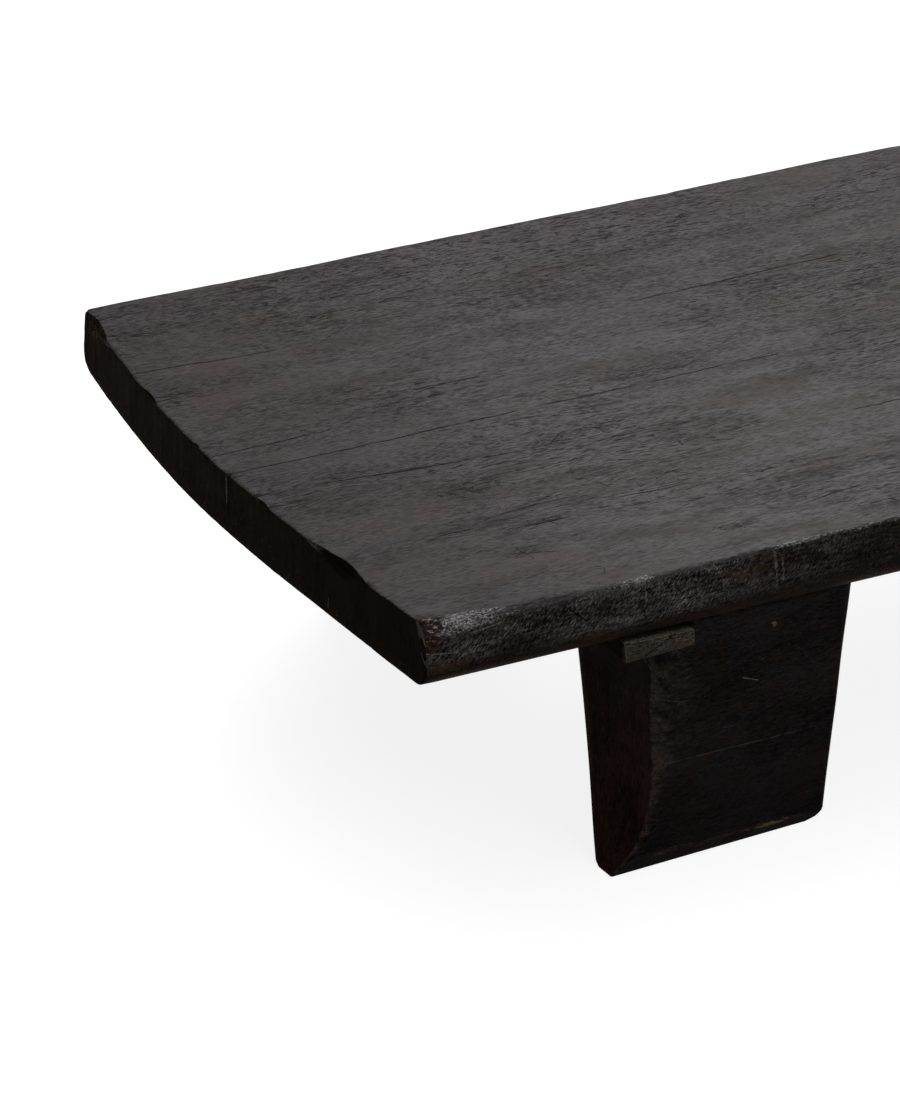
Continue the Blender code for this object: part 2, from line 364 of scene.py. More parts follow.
# %% Wood helpers
def new_wood(name, specular):
    made = bpy.data.materials.new(name)
    made.use_nodes = True
    made.node_tree.nodes["Principled BSDF"].inputs["Specular IOR Level"].default_value = specular
    return made, made.node_tree, add_node(made.node_tree, "ShaderNodeTexCoord").outputs["Object"]


def grain(place):
    return use(TIMBER_GRAIN, {"Place": place})


def upright(place):
    """A place turned so that the grain, which runs along the first axis, stands up."""
    axes = axes_of(place)
    return wired("ShaderNodeCombineXYZ", {"X": axes["Z"], "Y": axes["Y"], "Z": axes["X"]}).outputs[0]


def finish_wood(tree, colour, roughness, height):
    shader = tree.nodes["Principled BSDF"]
    tree.links.new(colour, shader.inputs["Base Color"])
    tree.links.new(roughness, shader.inputs["Roughness"])
    bump = wired("ShaderNodeBump", {"Height": height, "Distance": 0.001, "Strength": 1.0})
    tree.links.new(bump.outputs[0], shader.inputs["Normal"])


BLACK = (0.0012, 0.0010, 0.0009)
CHECK_BLACK = (0.0042, 0.0026, 0.0024)  # inside a drying check

# %% [markdown]
# ## Finish of the slab's top and long sides
# The top is greyed by wear and dust, and partly by painted sheen, with tan patches along the grain; its
# paler front is painted light, and its darker ends and hollows are painted shade. The sides keep the black
# of old smoke and wax, with the slanting marks of a drawknife, and painted sheen on their upper part.
# Both are painted in one finish, and the "flank" value of each point says which one shows, so that no
# seam runs along the edge between them.


# %% Slab finish: the top
def top_paint(place, axes, wood):
    """Colour of the top, the mask of its black marks, and its relief."""
    pores = cloud(place, 120.0, 500.0, 2.0, 0.65)
    tone = weigh(
        (pores, 0.48), (wood["Fibre"], 0.16), (wood["Streak"], 0.14), (wood["Crumple"], 0.12),
        (wood["Mottle"], 0.14),
    )
    share = step(tone, 0.40, 0.60)
    # the light end of this grey is partly painted sheen
    colour = mix_colour(share, (0.0200, 0.0174, 0.0178), (0.1055, 0.0974, 0.1007))
    lit_front = step(axes["Y"], -0.24, 0.28, 0.64, 0.0)
    in_middle = step(math("ABSOLUTE", axes["X"]), 0.60, 0.84, 1.0, 0.2)
    rubbed_and_lit = times(lit_front, in_middle)  # painted light: paler towards the front middle than at the back
    pale = mix_colour(share, (0.0475, 0.0421, 0.0426), (0.1430, 0.1338, 0.1379))
    colour = mix_colour(rubbed_and_lit, colour, pale)
    shaded_ends = step(math("ABSOLUTE", axes["X"]), 0.47, 0.88, 0.0, 0.54)  # painted shade: darker towards both ends
    shaded_colour = mix_colour(share, (0.0060, 0.0048, 0.0046), (0.0400, 0.0340, 0.0335))
    colour = mix_colour(shaded_ends, colour, shaded_colour)
    hollow = patches(place, 9.0, 24.0, 0.36, 0.54, 1.0, 0.0)
    hollow = times(hollow, step(axes["Y"], -0.25, 0.15, 0.60, 0.34))
    colour = mix_colour(hollow, colour, shaded_colour)  # painted shade of the adze's hollows, in ragged patches
    tan_patch = step(weigh((wood["Patch"], 0.7), (wood["Fibre"], 0.3)), 0.50, 0.62, 0.0, 0.5)
    colour = mix_colour(tan_patch, colour, (0.072, 0.055, 0.049))
    knots = knocks(
        place,
        ((-0.725, -0.266, 0.328), (0.020, 0.010, 0.02)), ((-0.679, -0.211, 0.324), (0.026, 0.007, 0.02)),
        ((-0.590, -0.058, 0.319), (0.030, 0.010, 0.02)), ((-0.548, -0.051, 0.319), (0.040, 0.009, 0.02)),
        ((-0.535, -0.309, 0.332), (0.024, 0.008, 0.02)), ((-0.700, -0.110, 0.320), (0.045, 0.018, 0.02)),
        ((-0.150, 0.120, 0.320), (0.036, 0.009, 0.02)), ((0.350, -0.160, 0.322), (0.038, 0.010, 0.02)),
        ((0.620, 0.200, 0.324), (0.028, 0.010, 0.02)),
    )
    torn = step(cloud(place, 110.0, 520.0, 3.0, 0.8), 0.49, 0.55)
    knots = times(knots, torn)  # the grain around a knot is torn, not smooth
    colour = paint(colour, knots, 0.85, (0.0085, 0.0055, 0.0040))
    waver = swing(0.006, place, 130.0, 130.0, 2.0)
    along, across = plus(axes["X"], waver), plus(axes["Y"], waver)
    splits = scratches(
        along, across,
        (-0.727, -0.702, -0.2665, -0.45, 0.0007), (-0.717, -0.692, -0.2107, -0.05, 0.0005),
        (-0.595, -0.577, -0.0594, 0.82, 0.0008), (-0.577, -0.543, -0.0441, -0.05, 0.0008),
        (-0.540, -0.518, -0.0130, -0.22, 0.0008), (-0.683, -0.647, -0.1692, 0.15, 0.0006),
        (-0.725, -0.653, -0.1808, 0.08, 0.0006), (-0.478, -0.455, -0.0317, -0.29, 0.0006),
        (-0.478, -0.454, -0.0700, -0.25, 0.0006),
    )
    nicks = scratches(
        across, along,
        (-0.124, -0.107, -0.488, 0.15, 0.0008), (-0.282, -0.251, -0.727, -0.10, 0.0007),
        (-0.223, -0.206, -0.672, -0.45, 0.0008), (-0.065, -0.046, -0.5355, -0.37, 0.0008),
        (-0.172, -0.156, -0.591, -0.41, 0.0006), (-0.349, -0.330, -0.690, 0.50, 0.0004),
    )
    nicks = strongest(nicks, splits)
    arc = scratches(axes["X"], axes["Y"], (-0.704, -0.558, 0.223, 0.61, 0.0006, -0.8))
    black = strongest(wood["Check"], times(nicks, 0.8), times(arc, 0.4))
    relief = weigh(
        (pores, 0.45), (wood["Fibre"], 0.15), (wood["Crumple"], 0.8), (wood["Streak"], 1.0),
        (wood["Mottle"], 4.2), (black, -0.7), (knots, -0.4),
    )
    return colour, black, relief


# %% Slab finish: the long sides
KNIFE_SLANT = radians(50)  # of the drawknife's marks, from the grain


def side_paint(place, axes, wood):
    """Colour of the long sides and their relief."""
    turned = wired("ShaderNodeMapping", {"Vector": place, "Rotation": (0, KNIFE_SLANT, 0)})
    hatch = cloud(turned.outputs[0], 200.0, 800.0, 2.0, 0.65)
    drag = cloud(place, 70.0, 480.0, 3.0, 0.65)
    tone = weigh((hatch, 0.52), (drag, 0.32), (wood["Crumple"], 0.16))
    share = step(tone, 0.41, 0.61)
    dry_and_sheen = patches(place, 10.0, 26.0, 0.36, 0.60, 0.30, 1.0)
    dry_and_sheen = times(dry_and_sheen, step(axes["Z"], 0.286, 0.304))  # painted sheen: only the upper part of the side is pale
    dry_and_sheen = times(dry_and_sheen, step(axes["X"], -0.81, -0.73, 0.80, 1.0))
    dry_and_sheen = times(dry_and_sheen, step(axes["X"], -0.62, -0.52, 1.0, 0.28))  # less of it past the key
    pale_wood = mix_colour(dry_and_sheen, (0.0260, 0.0192, 0.0164), (0.1850, 0.1720, 0.1710))
    colour = mix_colour(share, (0.0044, 0.0034, 0.0030), pale_wood)
    # painted glints: pale specks in the sheen of the upper side
    glints = times(step(hatch, 0.59, 0.70), times(dry_and_sheen, 0.9))
    colour = mix_colour(glints, colour, (0.300, 0.288, 0.286))
    brown_wood = mix_colour(share, (0.0028, 0.0018, 0.0014), (0.0300, 0.0170, 0.0112))
    smoke = patches(place, 12.0, 34.0, 0.47, 0.60, 0.0, 0.85)
    # painted shade: the lower rim, where the side turns under, goes dark, in the brown of the wood
    shaded_low_rim = step(axes["Z"], 0.282, 0.308, 0.95, 0.0)
    near_corner = step(axes["X"], -0.895, -0.80, 0.6, 0.0)
    browned = strongest(times(smoke, 0.7), shaded_low_rim, near_corner)
    colour = mix_colour(browned, colour, brown_wood)
    ochre = knocks(
        place,
        ((-0.882, -0.372, 0.322), (0.020, 0.020, 0.014)), ((-0.860, -0.378, 0.296), (0.024, 0.03, 0.008)),
        ((-0.569, -0.381, 0.320), (0.013, 0.03, 0.006)), ((-0.549, -0.381, 0.322), (0.010, 0.03, 0.006)),
        ((-0.714, -0.377, 0.294), (0.010, 0.03, 0.006)), ((0.420, -0.380, 0.300), (0.016, 0.03, 0.006)),
        ((0.100, 0.380, 0.315), (0.016, 0.03, 0.006)),
    )
    colour = paint(colour, ochre, 0.50, (0.052, 0.026, 0.015))
    pale_cuts = knocks(
        place,
        ((-0.531, -0.38, 0.322), (0.0018, 0.03, 0.026)), ((-0.524, -0.38, 0.316), (0.0014, 0.03, 0.016)),
        ((-0.664, -0.38, 0.320), (0.0014, 0.03, 0.014)),
    )
    pale_lines = scratches(
        axes["X"], axes["Z"],
        (-0.879, -0.848, 0.309, -0.07, 0.0007), (-0.838, -0.807, 0.322, 0.13, 0.0007),
    )
    pale = strongest(times(pale_cuts, 0.8), pale_lines)
    pale = times(pale, step(hatch, 0.38, 0.54, 0.2, 0.9))
    colour = mix_colour(pale, colour, (0.150, 0.140, 0.132))
    dark_cut = scratches(axes["X"], axes["Z"], (-0.745, -0.723, 0.328, -0.86, 0.0009))
    colour = paint(colour, dark_cut, 0.8, BLACK)
    relief = weigh((hatch, 0.8), (wood["Crumple"], 1.1), (wood["Mottle"], 2.2), (dark_cut, -0.8))
    return colour, relief


# %% [markdown]
# ## Wear and painted highlights on top of both
# Handled edges are bare and crackled: where a point is worn, the brightest specks of a fine cloud come
# through, pale bare wood that is partly painted highlight. "check" points go black. The finish is made
# twice, because the sides are waxed less and need a lower specular level, and a level has to be a plain
# number on the shader.


# %% Slab finish: both together
def slab_finish(name, specular):
    made, tree, place = new_wood(name, specular)
    axes = axes_of(place)
    wood = grain(place)
    top, top_black, top_relief = top_paint(place, axes, wood)
    side, side_relief = side_paint(place, axes, wood)
    flank = attribute(tree, "flank")
    on_top = minus(1.0, flank)
    crackle = cloud(place, 380.0, 640.0, 3.0, 0.8)
    # pale specks of bare wood, partly painted glints where the rolled edge catches the light
    bare_and_glinting = weigh((crackle, 0.80), (wood["Crumple"], 0.35), (attribute(tree, "worn_and_lit"), 0.30))
    bare_and_glinting = step(bare_and_glinting, 0.82, 0.95)
    colour = mix_colour(flank, top, side)
    colour = mix_colour(bare_and_glinting, colour, (0.345, 0.333, 0.334))
    stain = knocks(place, ((-0.879, -0.362, 0.331), (0.023, 0.022, 0.022)))
    colour = paint(colour, stain, 0.97, (0.020, 0.011, 0.0075))
    black = strongest(attribute(tree, "check"), times(top_black, on_top))
    colour = paint(colour, black, 0.9, CHECK_BLACK)
    dull = plus(0.22, weigh((wood["Mottle"], 0.25), (wood["Fibre"], 0.20), (flank, 0.10)))
    top_relief = times(top_relief, on_top)
    side_relief = times(side_relief, flank)
    finish_wood(tree, colour, dull, weigh((top_relief, 1.0), (side_relief, 1.0), (bare_and_glinting, 0.25)))
    return made


slab_wood = slab_finish("slab_top_wood", 0.020)
flank_wood = slab_finish("slab_side_wood", 0.010)
print("finishes:", slab_wood.name, flank_wood.name)

# %% [markdown]
# ## Finish of the slab's cut ends
# The ends were cut across the grain and never planed. They are almost black, with fine upright lines
# from the tool, ochre specks, and one pale line where a check opened fresh wood.

# %% End finish
end_wood, tree, place = new_wood("slab_end_wood", 0.006)
axes = axes_of(place)
wood = grain(upright(place))
tone = weigh((wood["Fibre"], 0.50), (wood["Crumple"], 0.30), (wood["Streak"], 0.20))
colour = mix_colour(step(tone, 0.38, 0.62), (0.0060, 0.0046, 0.0038), (0.0180, 0.0138, 0.0108))
warm = patches(place, 9.0, 16.0, 0.48, 0.64, 0.0, 0.8)
colour = paint(colour, warm, 0.7, (0.0160, 0.0100, 0.0062))
soot = step(axes["Y"], -0.34, 0.10, 0.55, 0.0)  # the front corner is the blackest
colour = mix_colour(soot, colour, (0.0030, 0.0020, 0.0016))
low = step(axes["Z"], 0.262, 0.300, 1.0, 0.15)
specks = times(step(cloud(place, 300.0, 300.0, 2.0), 0.66, 0.72), low)
colour = paint(colour, specks, 0.6, (0.090, 0.066, 0.040))
fresh = knocks(
    place,
    ((-0.897, 0.0200, 0.298), (0.03, 0.0014, 0.020)), ((-0.890, -0.182, 0.271), (0.03, 0.0008, 0.007)),
    ((0.892, -0.100, 0.300), (0.03, 0.0014, 0.018)),
)
splinters = scratches(
    axes["Z"], axes["Y"],
    (0.318, 0.337, -0.3735, 0.58, 0.0010), (0.312, 0.326, -0.3710, 0.50, 0.0008),
    (0.299, 0.308, -0.3710, 0.82, 0.0006),
)
on_left = step(axes["X"], -0.2, -0.1, 1.0, 0.0)
fresh = strongest(fresh, times(splinters, on_left))
fibres = knocks(place, ((-0.890, 0.345, 0.322), (0.03, 0.022, 0.006)))
fibres = times(fibres, step(wood["Fibre"], 0.52, 0.62))
fresh = strongest(times(fresh, 0.8), times(fibres, 0.6))
colour = mix_colour(fresh, colour, (0.150, 0.120, 0.085))
# pale worn edges, partly painted highlights
bare_and_glinting = step(plus(times(attribute(tree, "worn_and_lit"), 0.6), wood["Fibre"]), 0.80, 1.10)
colour = mix_colour(bare_and_glinting, colour, (0.070, 0.060, 0.052))
colour = paint(colour, attribute(tree, "check"), 0.9, CHECK_BLACK)
relief = weigh((wood["Fibre"], 0.45), (wood["Crumple"], 0.6), (wood["Mottle"], 1.4))
finish_wood(tree, colour, plus(times(wood["Mottle"], 0.2), 0.70), relief)
print("finish:", end_wood.name)

# %% [markdown]
# ## Finish of the legs
# The broad faces are black with a blue cast where wax lies thick, and brown where it is thin. The
# outer flank, cut across the grain, shows the red of the heartwood. "outer" says how much of that shows.
# The flank is painted darker towards its top, as shade under the slab, and the pale rubbed edges are
# partly painted highlights.

# %% Leg finish
leg_wood, tree, place = new_wood("hewn_leg_wood", 0.012)
axes = axes_of(place)
face, heart = grain(place), grain(upright(place))
fine = cloud(place, 260.0, 640.0, 2.0, 0.65)
broad = cloud(place, 10.0, 17.0, 3.0, 0.55)
tone = weigh((face["Fibre"], 0.34), (fine, 0.30), (face["Crumple"], 0.10), (broad, 0.26))
colour = mix_colour(step(tone, 0.40, 0.59), (0.0017, 0.0013, 0.0012), (0.0225, 0.0195, 0.0196))
thin_wax = patches(place, 20.0, 26.0, 0.44, 0.66, 0.0, 0.7)
brown = mix_colour(step(tone, 0.395, 0.60), (0.0034, 0.0019, 0.0013), (0.0250, 0.0150, 0.0108))
colour = mix_colour(thin_wax, colour, brown)
colour = mix_colour(step(axes["Z"], 0.02, 0.15, 0.45, 0.0), colour, (0.0030, 0.0024, 0.0023))
red_tone = weigh((heart["Fibre"], 0.4), (heart["Streak"], 0.3), (heart["Mottle"], 0.3))
red = mix_colour(step(red_tone, 0.43, 0.58), (0.0026, 0.0016, 0.0014), (0.0280, 0.0140, 0.0100))
# painted shade: the red flank darkens towards its top, under the slab
red = mix_colour(step(axes["Z"], 0.12, 0.24, 0.0, 0.45), red, (0.0048, 0.0030, 0.0026))
colour = mix_colour(attribute(tree, "outer"), colour, red)
# pale rubbed arrises, partly painted highlights
rub = cloud(place, 60.0, 130.0, 4.0, 0.65)
bare_and_glinting = step(plus(times(attribute(tree, "worn_and_lit"), 0.50), rub), 0.60, 1.0, 0.0, 0.9)
rubbed_and_lit = mix_colour(step(tone, 0.36, 0.6), (0.014, 0.0095, 0.0075), (0.094, 0.071, 0.058))
colour = mix_colour(bare_and_glinting, colour, rubbed_and_lit)
marks = scratches(
    axes["X"], axes["Z"],
    (-0.618, -0.457, 0.118, -0.03, 0.0005), (-0.636, -0.602, 0.193, -0.45, 0.0006, 6.5),
    (-0.561, -0.549, 0.142, -0.08, 0.0006), (-0.641, -0.636, 0.232, -2.4, 0.0013),
    (-0.634, -0.627, 0.226, -2.0, 0.0012), (0.470, 0.600, 0.150, 0.05, 0.0005),
)
marks = times(marks, step(face["Fibre"], 0.40, 0.56, 0.1, 0.8))
colour = mix_colour(marks, colour, (0.085, 0.080, 0.076))
splinter = scratches(axes["X"], axes["Z"], (-0.545, -0.527, 0.194, -0.44, 0.0007))
chips = knocks(
    place,
    ((-0.516, -0.358, 0.246), (0.0036, 0.03, 0.0042)), ((-0.494, -0.320, 0.0115), (0.020, 0.03, 0.0030)),
)
fresh = strongest(splinter, chips)
colour = paint(colour, fresh, 0.85, (0.190, 0.125, 0.080))
colour = mix_colour(attribute(tree, "check"), colour, BLACK)
colour = paint(colour, face["Check"], 0.6, BLACK)
relief = weigh(
    (face["Fibre"], 0.35), (fine, 0.3), (face["Crumple"], 1.0), (face["Mottle"], 2.2), (marks, -0.3)
)
finish_wood(tree, colour, plus(times(face["Mottle"], 0.3), 0.42), relief)
print("finish:", leg_wood.name)

# %% [markdown]
# ## Finishes of the keys and the dowels
# A key is a sawn offcut of drier, greyer wood, and its arrises are frayed to a pale fibre. Its faces in
# the gap under the slab are painted dark as shade, and the seen strip of its top is painted light. The
# dowels are hidden, so theirs is the plain brown of whittled pegs, with the grain upright.

# %% Key and dowel finishes
key_wood, tree, place = new_wood("sawn_key_wood", 0.005)
wood = grain(vector_math("ADD", place, (3.0, 0.0, 0.0)))
saw = cloud(place, 380.0, 700.0, 3.0, 0.75)
tone = weigh((wood["Fibre"], 0.30), (saw, 0.52), (wood["Mottle"], 0.18))
colour = mix_colour(step(tone, 0.41, 0.61), (0.0075, 0.0064, 0.0058), (0.1780, 0.1570, 0.1430))
colour = mix_colour(step(wood["Patch"], 0.45, 0.62, 0.0, 0.6), colour, (0.0600, 0.0430, 0.0300))
frayed = step(plus(times(attribute(tree, "worn_and_lit"), 0.45), saw), 0.76, 1.02)
colour = mix_colour(frayed, colour, (0.200, 0.168, 0.126))
orange = knocks(place, ((-0.600, -0.373, 0.252), (0.008, 0.03, 0.006)))
colour = paint(colour, orange, 0.7, (0.130, 0.075, 0.042))
colour = mix_colour(attribute(tree, "check"), colour, BLACK)
# painted shade where the key sits in the gap under the slab
colour = mix_colour(attribute(tree, "recess_shade"), colour, (0.0045, 0.0030, 0.0024))
relief = weigh((saw, 0.5), (wood["Fibre"], 0.4))
finish_wood(tree, colour, plus(times(saw, 0.2), 0.65), relief)

dowel_wood, tree, place = new_wood("whittled_dowel_wood", 0.2)
wood = grain(upright(place))
tone = weigh((wood["Fibre"], 0.5), (wood["Streak"], 0.5))
colour = mix_colour(step(tone, 0.38, 0.62), (0.055, 0.030, 0.017), (0.130, 0.078, 0.045))
dull = plus(times(wood["Fibre"], 0.2), 0.55)
finish_wood(tree, colour, dull, times(wood["Fibre"], 0.3))
for node, solid in frame["nodes"].items():
    if node.startswith("dowel_"):
        solid.data.materials.clear()
        solid.data.materials.append(dowel_wood)
print("finishes:", key_wood.name, dowel_wood.name)

# %% [markdown]
# ## Measuring a solid
# A piece that replaces a solid has to sit just where the solid does. Firing a ray at the solid and
# reading where it lands is a ruler that needs no drawing, and it still fits if the solid changes.


# %% Rulers
def ruler(node):
    """The faces of a solid, ready for rays."""
    mesh = frame["nodes"][node].data
    return BVHTree.FromPolygons([v.co for v in mesh.vertices], [f.vertices[:] for f in mesh.polygons])


def land(faces, start, direction):
    """Where a ray from this start meets the faces of a solid."""
    place = faces.ray_cast(Vector(start), Vector(direction))[0]
    if place is None:
        raise ValueError(f"nothing to measure from {start} along {direction}")
    return place


SLAB_RULER = ruler("tabletop_slab")
FAR = 3.0  # outside the table on every side
HALF_LENGTH, HALF_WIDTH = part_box("tabletop_slab")[1].xy
PROBE = 0.30  # distance from the middle line for measuring the dish


def bowl(direction):
    """Height of the top or the underside on the middle line, and how fast it rises from there."""
    start = -FAR * direction
    middle = land(SLAB_RULER, (0, 0, start), (0, 0, direction)).z
    beside = land(SLAB_RULER, (0, PROBE, start), (0, 0, direction)).z
    return middle, (beside - middle) / PROBE**2


TOP_MIDDLE, TOP_RISE = bowl(-1)
UNDER_MIDDLE, UNDER_RISE = bowl(1)
print(f"top {TOP_MIDDLE:.4f} rising {TOP_RISE:.4f}, underside {UNDER_MIDDLE:.4f} rising {UNDER_RISE:.4f}")

# %% [markdown]
# ## Working a block into a hewn piece
# Slab, legs and keys all start as a cube that is cut into a fine grid. Its points are then moved, as
# in sculpting: first to the bent shape of the piece, then inwards where the tool, wear or a knock
# took wood away. Apart from the flare of a foot, nothing is moved out past its solid.


# %% Grid blocks
def even_lines(low, high, spacing, extra=()):
    """Cut lines from low to high, about this far apart, with some of their own added."""
    count = round((high - low) / spacing)
    lines = [low + (high - low) * i / count for i in range(count + 1)]
    kept = [a for a in lines if all(abs(a - b) > spacing * 0.3 for b in extra) or a in (low, high)]
    return sorted(kept + list(extra))


def grid_block(*axes):
    """A block cut along each axis by these lines."""
    work = bmesh.new()
    bmesh.ops.create_cube(work, size=2)
    for axis, lines in enumerate(axes):
        along = [e for e in work.edges if abs(e.verts[0].co[axis] - e.verts[1].co[axis]) > 1]
        bmesh.ops.subdivide_edges(work, edges=along, cuts=len(lines) - 2, use_grid_fill=True)
    for point in work.verts:
        for axis, lines in enumerate(axes):
            point.co[axis] = lines[round((point.co[axis] + 1) / 2 * (len(lines) - 1))]
    work.normal_update()
    return work


def add_layers(work, *names):
    """Values that each point of a block carries for its finish to read."""
    return [work.verts.layers.float.new(name) for name in names]


# %% Tool marks and wear
def smoothstep(low, high, value):
    share = min(max((value - low) / (high - low), 0.0), 1.0)
    return share * share * (3 - 2 * share)


def between(first, second, share):
    return first + (second - first) * share


def ripple(*place):
    """Soft noise between nought and one."""
    return min(max(0.5 + 0.5 * noise.noise(Vector(place)), 0.0), 1.0)


FACET_SEED = 7
noise.seed_set(FACET_SEED)  # without it, noise_vector starts from the clock and no two runs are alike


def facets(across, up, seed):
    """Flat cuts of a small adze, each with a slope of its own, between nought and one."""
    place = Vector((across, up, seed))
    centre = noise.voronoi(place)[1][0]
    lean = noise.noise_vector(centre * 3.7)
    return min(max(0.45 + 0.5 * lean.z + 0.5 * (place - centre).dot(lean), 0.0), 1.0)


def roll(first, second, radius):
    """How far two faces draw in, this far from the edge they share, when it is rounded off."""
    p, q = max(radius - first, 0), max(radius - second, 0)
    if p == 0 or q == 0:
        return 0.0, 0.0
    share = 1 - max(p, q) / hypot(p, q)
    return p * share, q * share


def shave(first, second, reach_first, reach_second, hollow=0.0):
    """The same for an edge that is cut off flat, or scooped out."""
    short = 1 - first / reach_first - second / reach_second
    if short <= 0:
        return 0.0, 0.0
    share = short * (0.5 + hollow * short)
    return share * reach_first, share * reach_second


# %% Making a piece of a worked block
SHARP = radians(48)  # edges past this angle stay crisp


def new_object(name, work):
    bmesh.ops.recalc_face_normals(work, faces=work.faces)
    if work.calc_volume(signed=True) < 0:
        bmesh.ops.reverse_faces(work, faces=work.faces)
    for face in work.faces:
        face.smooth = True
    mesh = bpy.data.meshes.new(name)
    work.to_mesh(mesh)
    work.free()
    made = bpy.data.objects.new(name, mesh)
    bpy.context.scene.collection.objects.link(made)
    return made


def finish_piece(name, work, materials, node, cutter=None):
    """Makes the worked block an object that stands for a solid. A cutter takes its shape out first."""
    piece = new_object(name, work)
    for material in materials:
        piece.data.materials.append(material)
    if cutter:
        tool = new_object("cutter", cutter)
        cut = piece.modifiers.new("cut", "BOOLEAN")
        cut.operation, cut.solver, cut.object = "DIFFERENCE", "EXACT", tool
        whole = piece.data
        result = piece.evaluated_get(bpy.context.evaluated_depsgraph_get())
        piece.data = bpy.data.meshes.new_from_object(result)
        piece.data.name = name
        piece.modifiers.clear()
        bpy.data.objects.remove(tool)
        bpy.data.meshes.remove(whole)
    piece.data.set_sharp_from_angle(angle=SHARP)
    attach(piece, "root")
    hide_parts(node)
    piece.data.calc_loop_triangles()
    print(f"{name}: {len(piece.data.loop_triangles)} triangles")


# %% [markdown]
# ## The slab
# The board was split from a log, hollowed along the top with an adze and worn by use. Its cut lines
# follow the grain, so a drying check is simply one line that sinks between two close neighbours, and
# the grain beside it bends with it. First come the shapes of the underside and the sides.

# %% Slab: its section
SIDE_SWELL = 0.007  # of each long side, below its top edge
UNDER_RADIUS = 0.030  # from each long side to the underside
TOP_HALF = HALF_WIDTH - SIDE_SWELL
EDGE_HEIGHT = TOP_MIDDLE + TOP_RISE * TOP_HALF**2
THICKNESS = TOP_MIDDLE - UNDER_MIDDLE
INNER = HALF_WIDTH - UNDER_RADIUS
WIDEST = EDGE_HEIGHT - THICKNESS + UNDER_RADIUS  # height where the sides stand out most
ROUND_HEIGHT = WIDEST - (UNDER_MIDDLE + UNDER_RISE * INNER**2)


def underside(y):
    """Height of the underside, with the round at each long side."""
    if abs(y) <= INNER:
        return UNDER_MIDDLE + UNDER_RISE * y * y
    return WIDEST - ROUND_HEIGHT * sqrt(max(1 - ((abs(y) - INNER) / UNDER_RADIUS) ** 2, 0))


def half_width(height):
    """Half width of the board at this height on its side."""
    if height >= WIDEST:
        rise = (height - WIDEST) / (EDGE_HEIGHT - WIDEST)
        return HALF_WIDTH - SIDE_SWELL * rise * rise
    return INNER + UNDER_RADIUS * sqrt(max(1 - ((WIDEST - height) / ROUND_HEIGHT) ** 2, 0))


LOW_EDGE = INNER + UNDER_RADIUS * sqrt(0.5)  # the board's lower corner runs along the middle of the round
LOW_HEIGHT = underside(LOW_EDGE)
print(f"edge height {EDGE_HEIGHT:.4f}, lower corner at {LOW_EDGE:.4f}, {LOW_HEIGHT:.4f}")

# %% Slab: drying checks
# Place across the board, start and end along it, drift, depth, and how far it runs down the end
CHECKS = (
    (0.016, -0.900, -0.290, 0.005, 0.0028, 0.045),
    (-0.039, -0.900, -0.600, -0.023, 0.0030, 0.006),
    (0.057, -0.900, -0.755, 0.002, 0.0018, 0.004),
    (0.239, -0.900, -0.735, -0.015, 0.0020, 0.006),
    (-0.178, -0.740, -0.630, 0.010, 0.0022, 0.0),
    (-0.196, -0.640, -0.515, -0.010, 0.0022, 0.0),
    (-0.213, -0.735, -0.655, -0.001, 0.0020, 0.0),
    (-0.1935, -0.810, -0.735, -0.001, 0.0016, 0.0),
    (0.121, -0.835, -0.770, -0.003, 0.0016, 0.0),
    (0.180, -0.420, -0.120, 0.012, 0.0026, 0.0),
    (-0.130, -0.330, -0.050, 0.010, 0.0022, 0.0),
    (-0.085, 0.560, 0.900, 0.014, 0.0030, 0.030),
    (0.030, 0.640, 0.900, -0.006, 0.0024, 0.010),
    (-0.250, 0.080, 0.340, 0.008, 0.0020, 0.0),
    (0.282, 0.300, 0.580, -0.010, 0.0018, 0.0),
)
CHECK_HALF = 0.0008
CHECK_FADE = 0.05
WAVER, SMALL_WAVER = 0.0026, 0.0011  # how far the grain wanders from a straight line


def check_open(x, start, end):
    """How open a check is here: nought past its ends, one along it. At the board's end it stays open."""
    opening = 1.0 if start <= -HALF_LENGTH else smoothstep(start, start + CHECK_FADE, x)
    closing = 1.0 if end >= HALF_LENGTH else 1 - smoothstep(end - CHECK_FADE, end, x)
    return opening * closing * smoothstep(0.22, 0.62, ripple(x * 30, start * 9, end * 9))


def grain_bend(x, y, place, start, end, drift):
    """How far the grain at this place bends with a check."""
    near = exp(-(((y - place) / max(0.012, 1.5 * abs(drift))) ** 2))
    waver = WAVER * noise.noise(Vector((x * 17, place * 50, 0)))
    waver += SMALL_WAVER * noise.noise(Vector((x * 58, place * 50, 3)))
    return near * (drift * smoothstep(start, end, x) + waver)


print("checks:", len(CHECKS))

# %% Slab: a flat board cut into a grid
CHIP_LINES = (0.0105, 0.0111)  # this line lies on the rim of a chip, the next one just outside it
EDGE_LINES = (0.0014, 0.003, 0.005, 0.0075, *CHIP_LINES, 0.014)  # beside the edges, where the wear is
ALONG_SPACING, ACROSS_SPACING, UP_SPACING = 0.0080, 0.0035, 0.0052
near_ends = [s * (HALF_LENGTH - e) for s in (-1, 1) for e in EDGE_LINES]
near_sides = [s * (TOP_HALF - e) for s in (-1, 1) for e in EDGE_LINES]
near_checks = [c[0] + s * CHECK_HALF for c in CHECKS for s in (-1, 0, 1)]
along_lines = even_lines(-HALF_LENGTH, HALF_LENGTH, ALONG_SPACING, near_ends)
across_lines = even_lines(-TOP_HALF, TOP_HALF, ACROSS_SPACING, near_sides + near_checks)
up_lines = even_lines(0, THICKNESS, UP_SPACING, [THICKNESS - e for e in EDGE_LINES])
board = grid_block(along_lines, across_lines, up_lines)
for face in board.faces:
    face.material_index = 1 if abs(face.normal.x) > 0.9 else (0 if face.normal.z > 0.9 else 2)

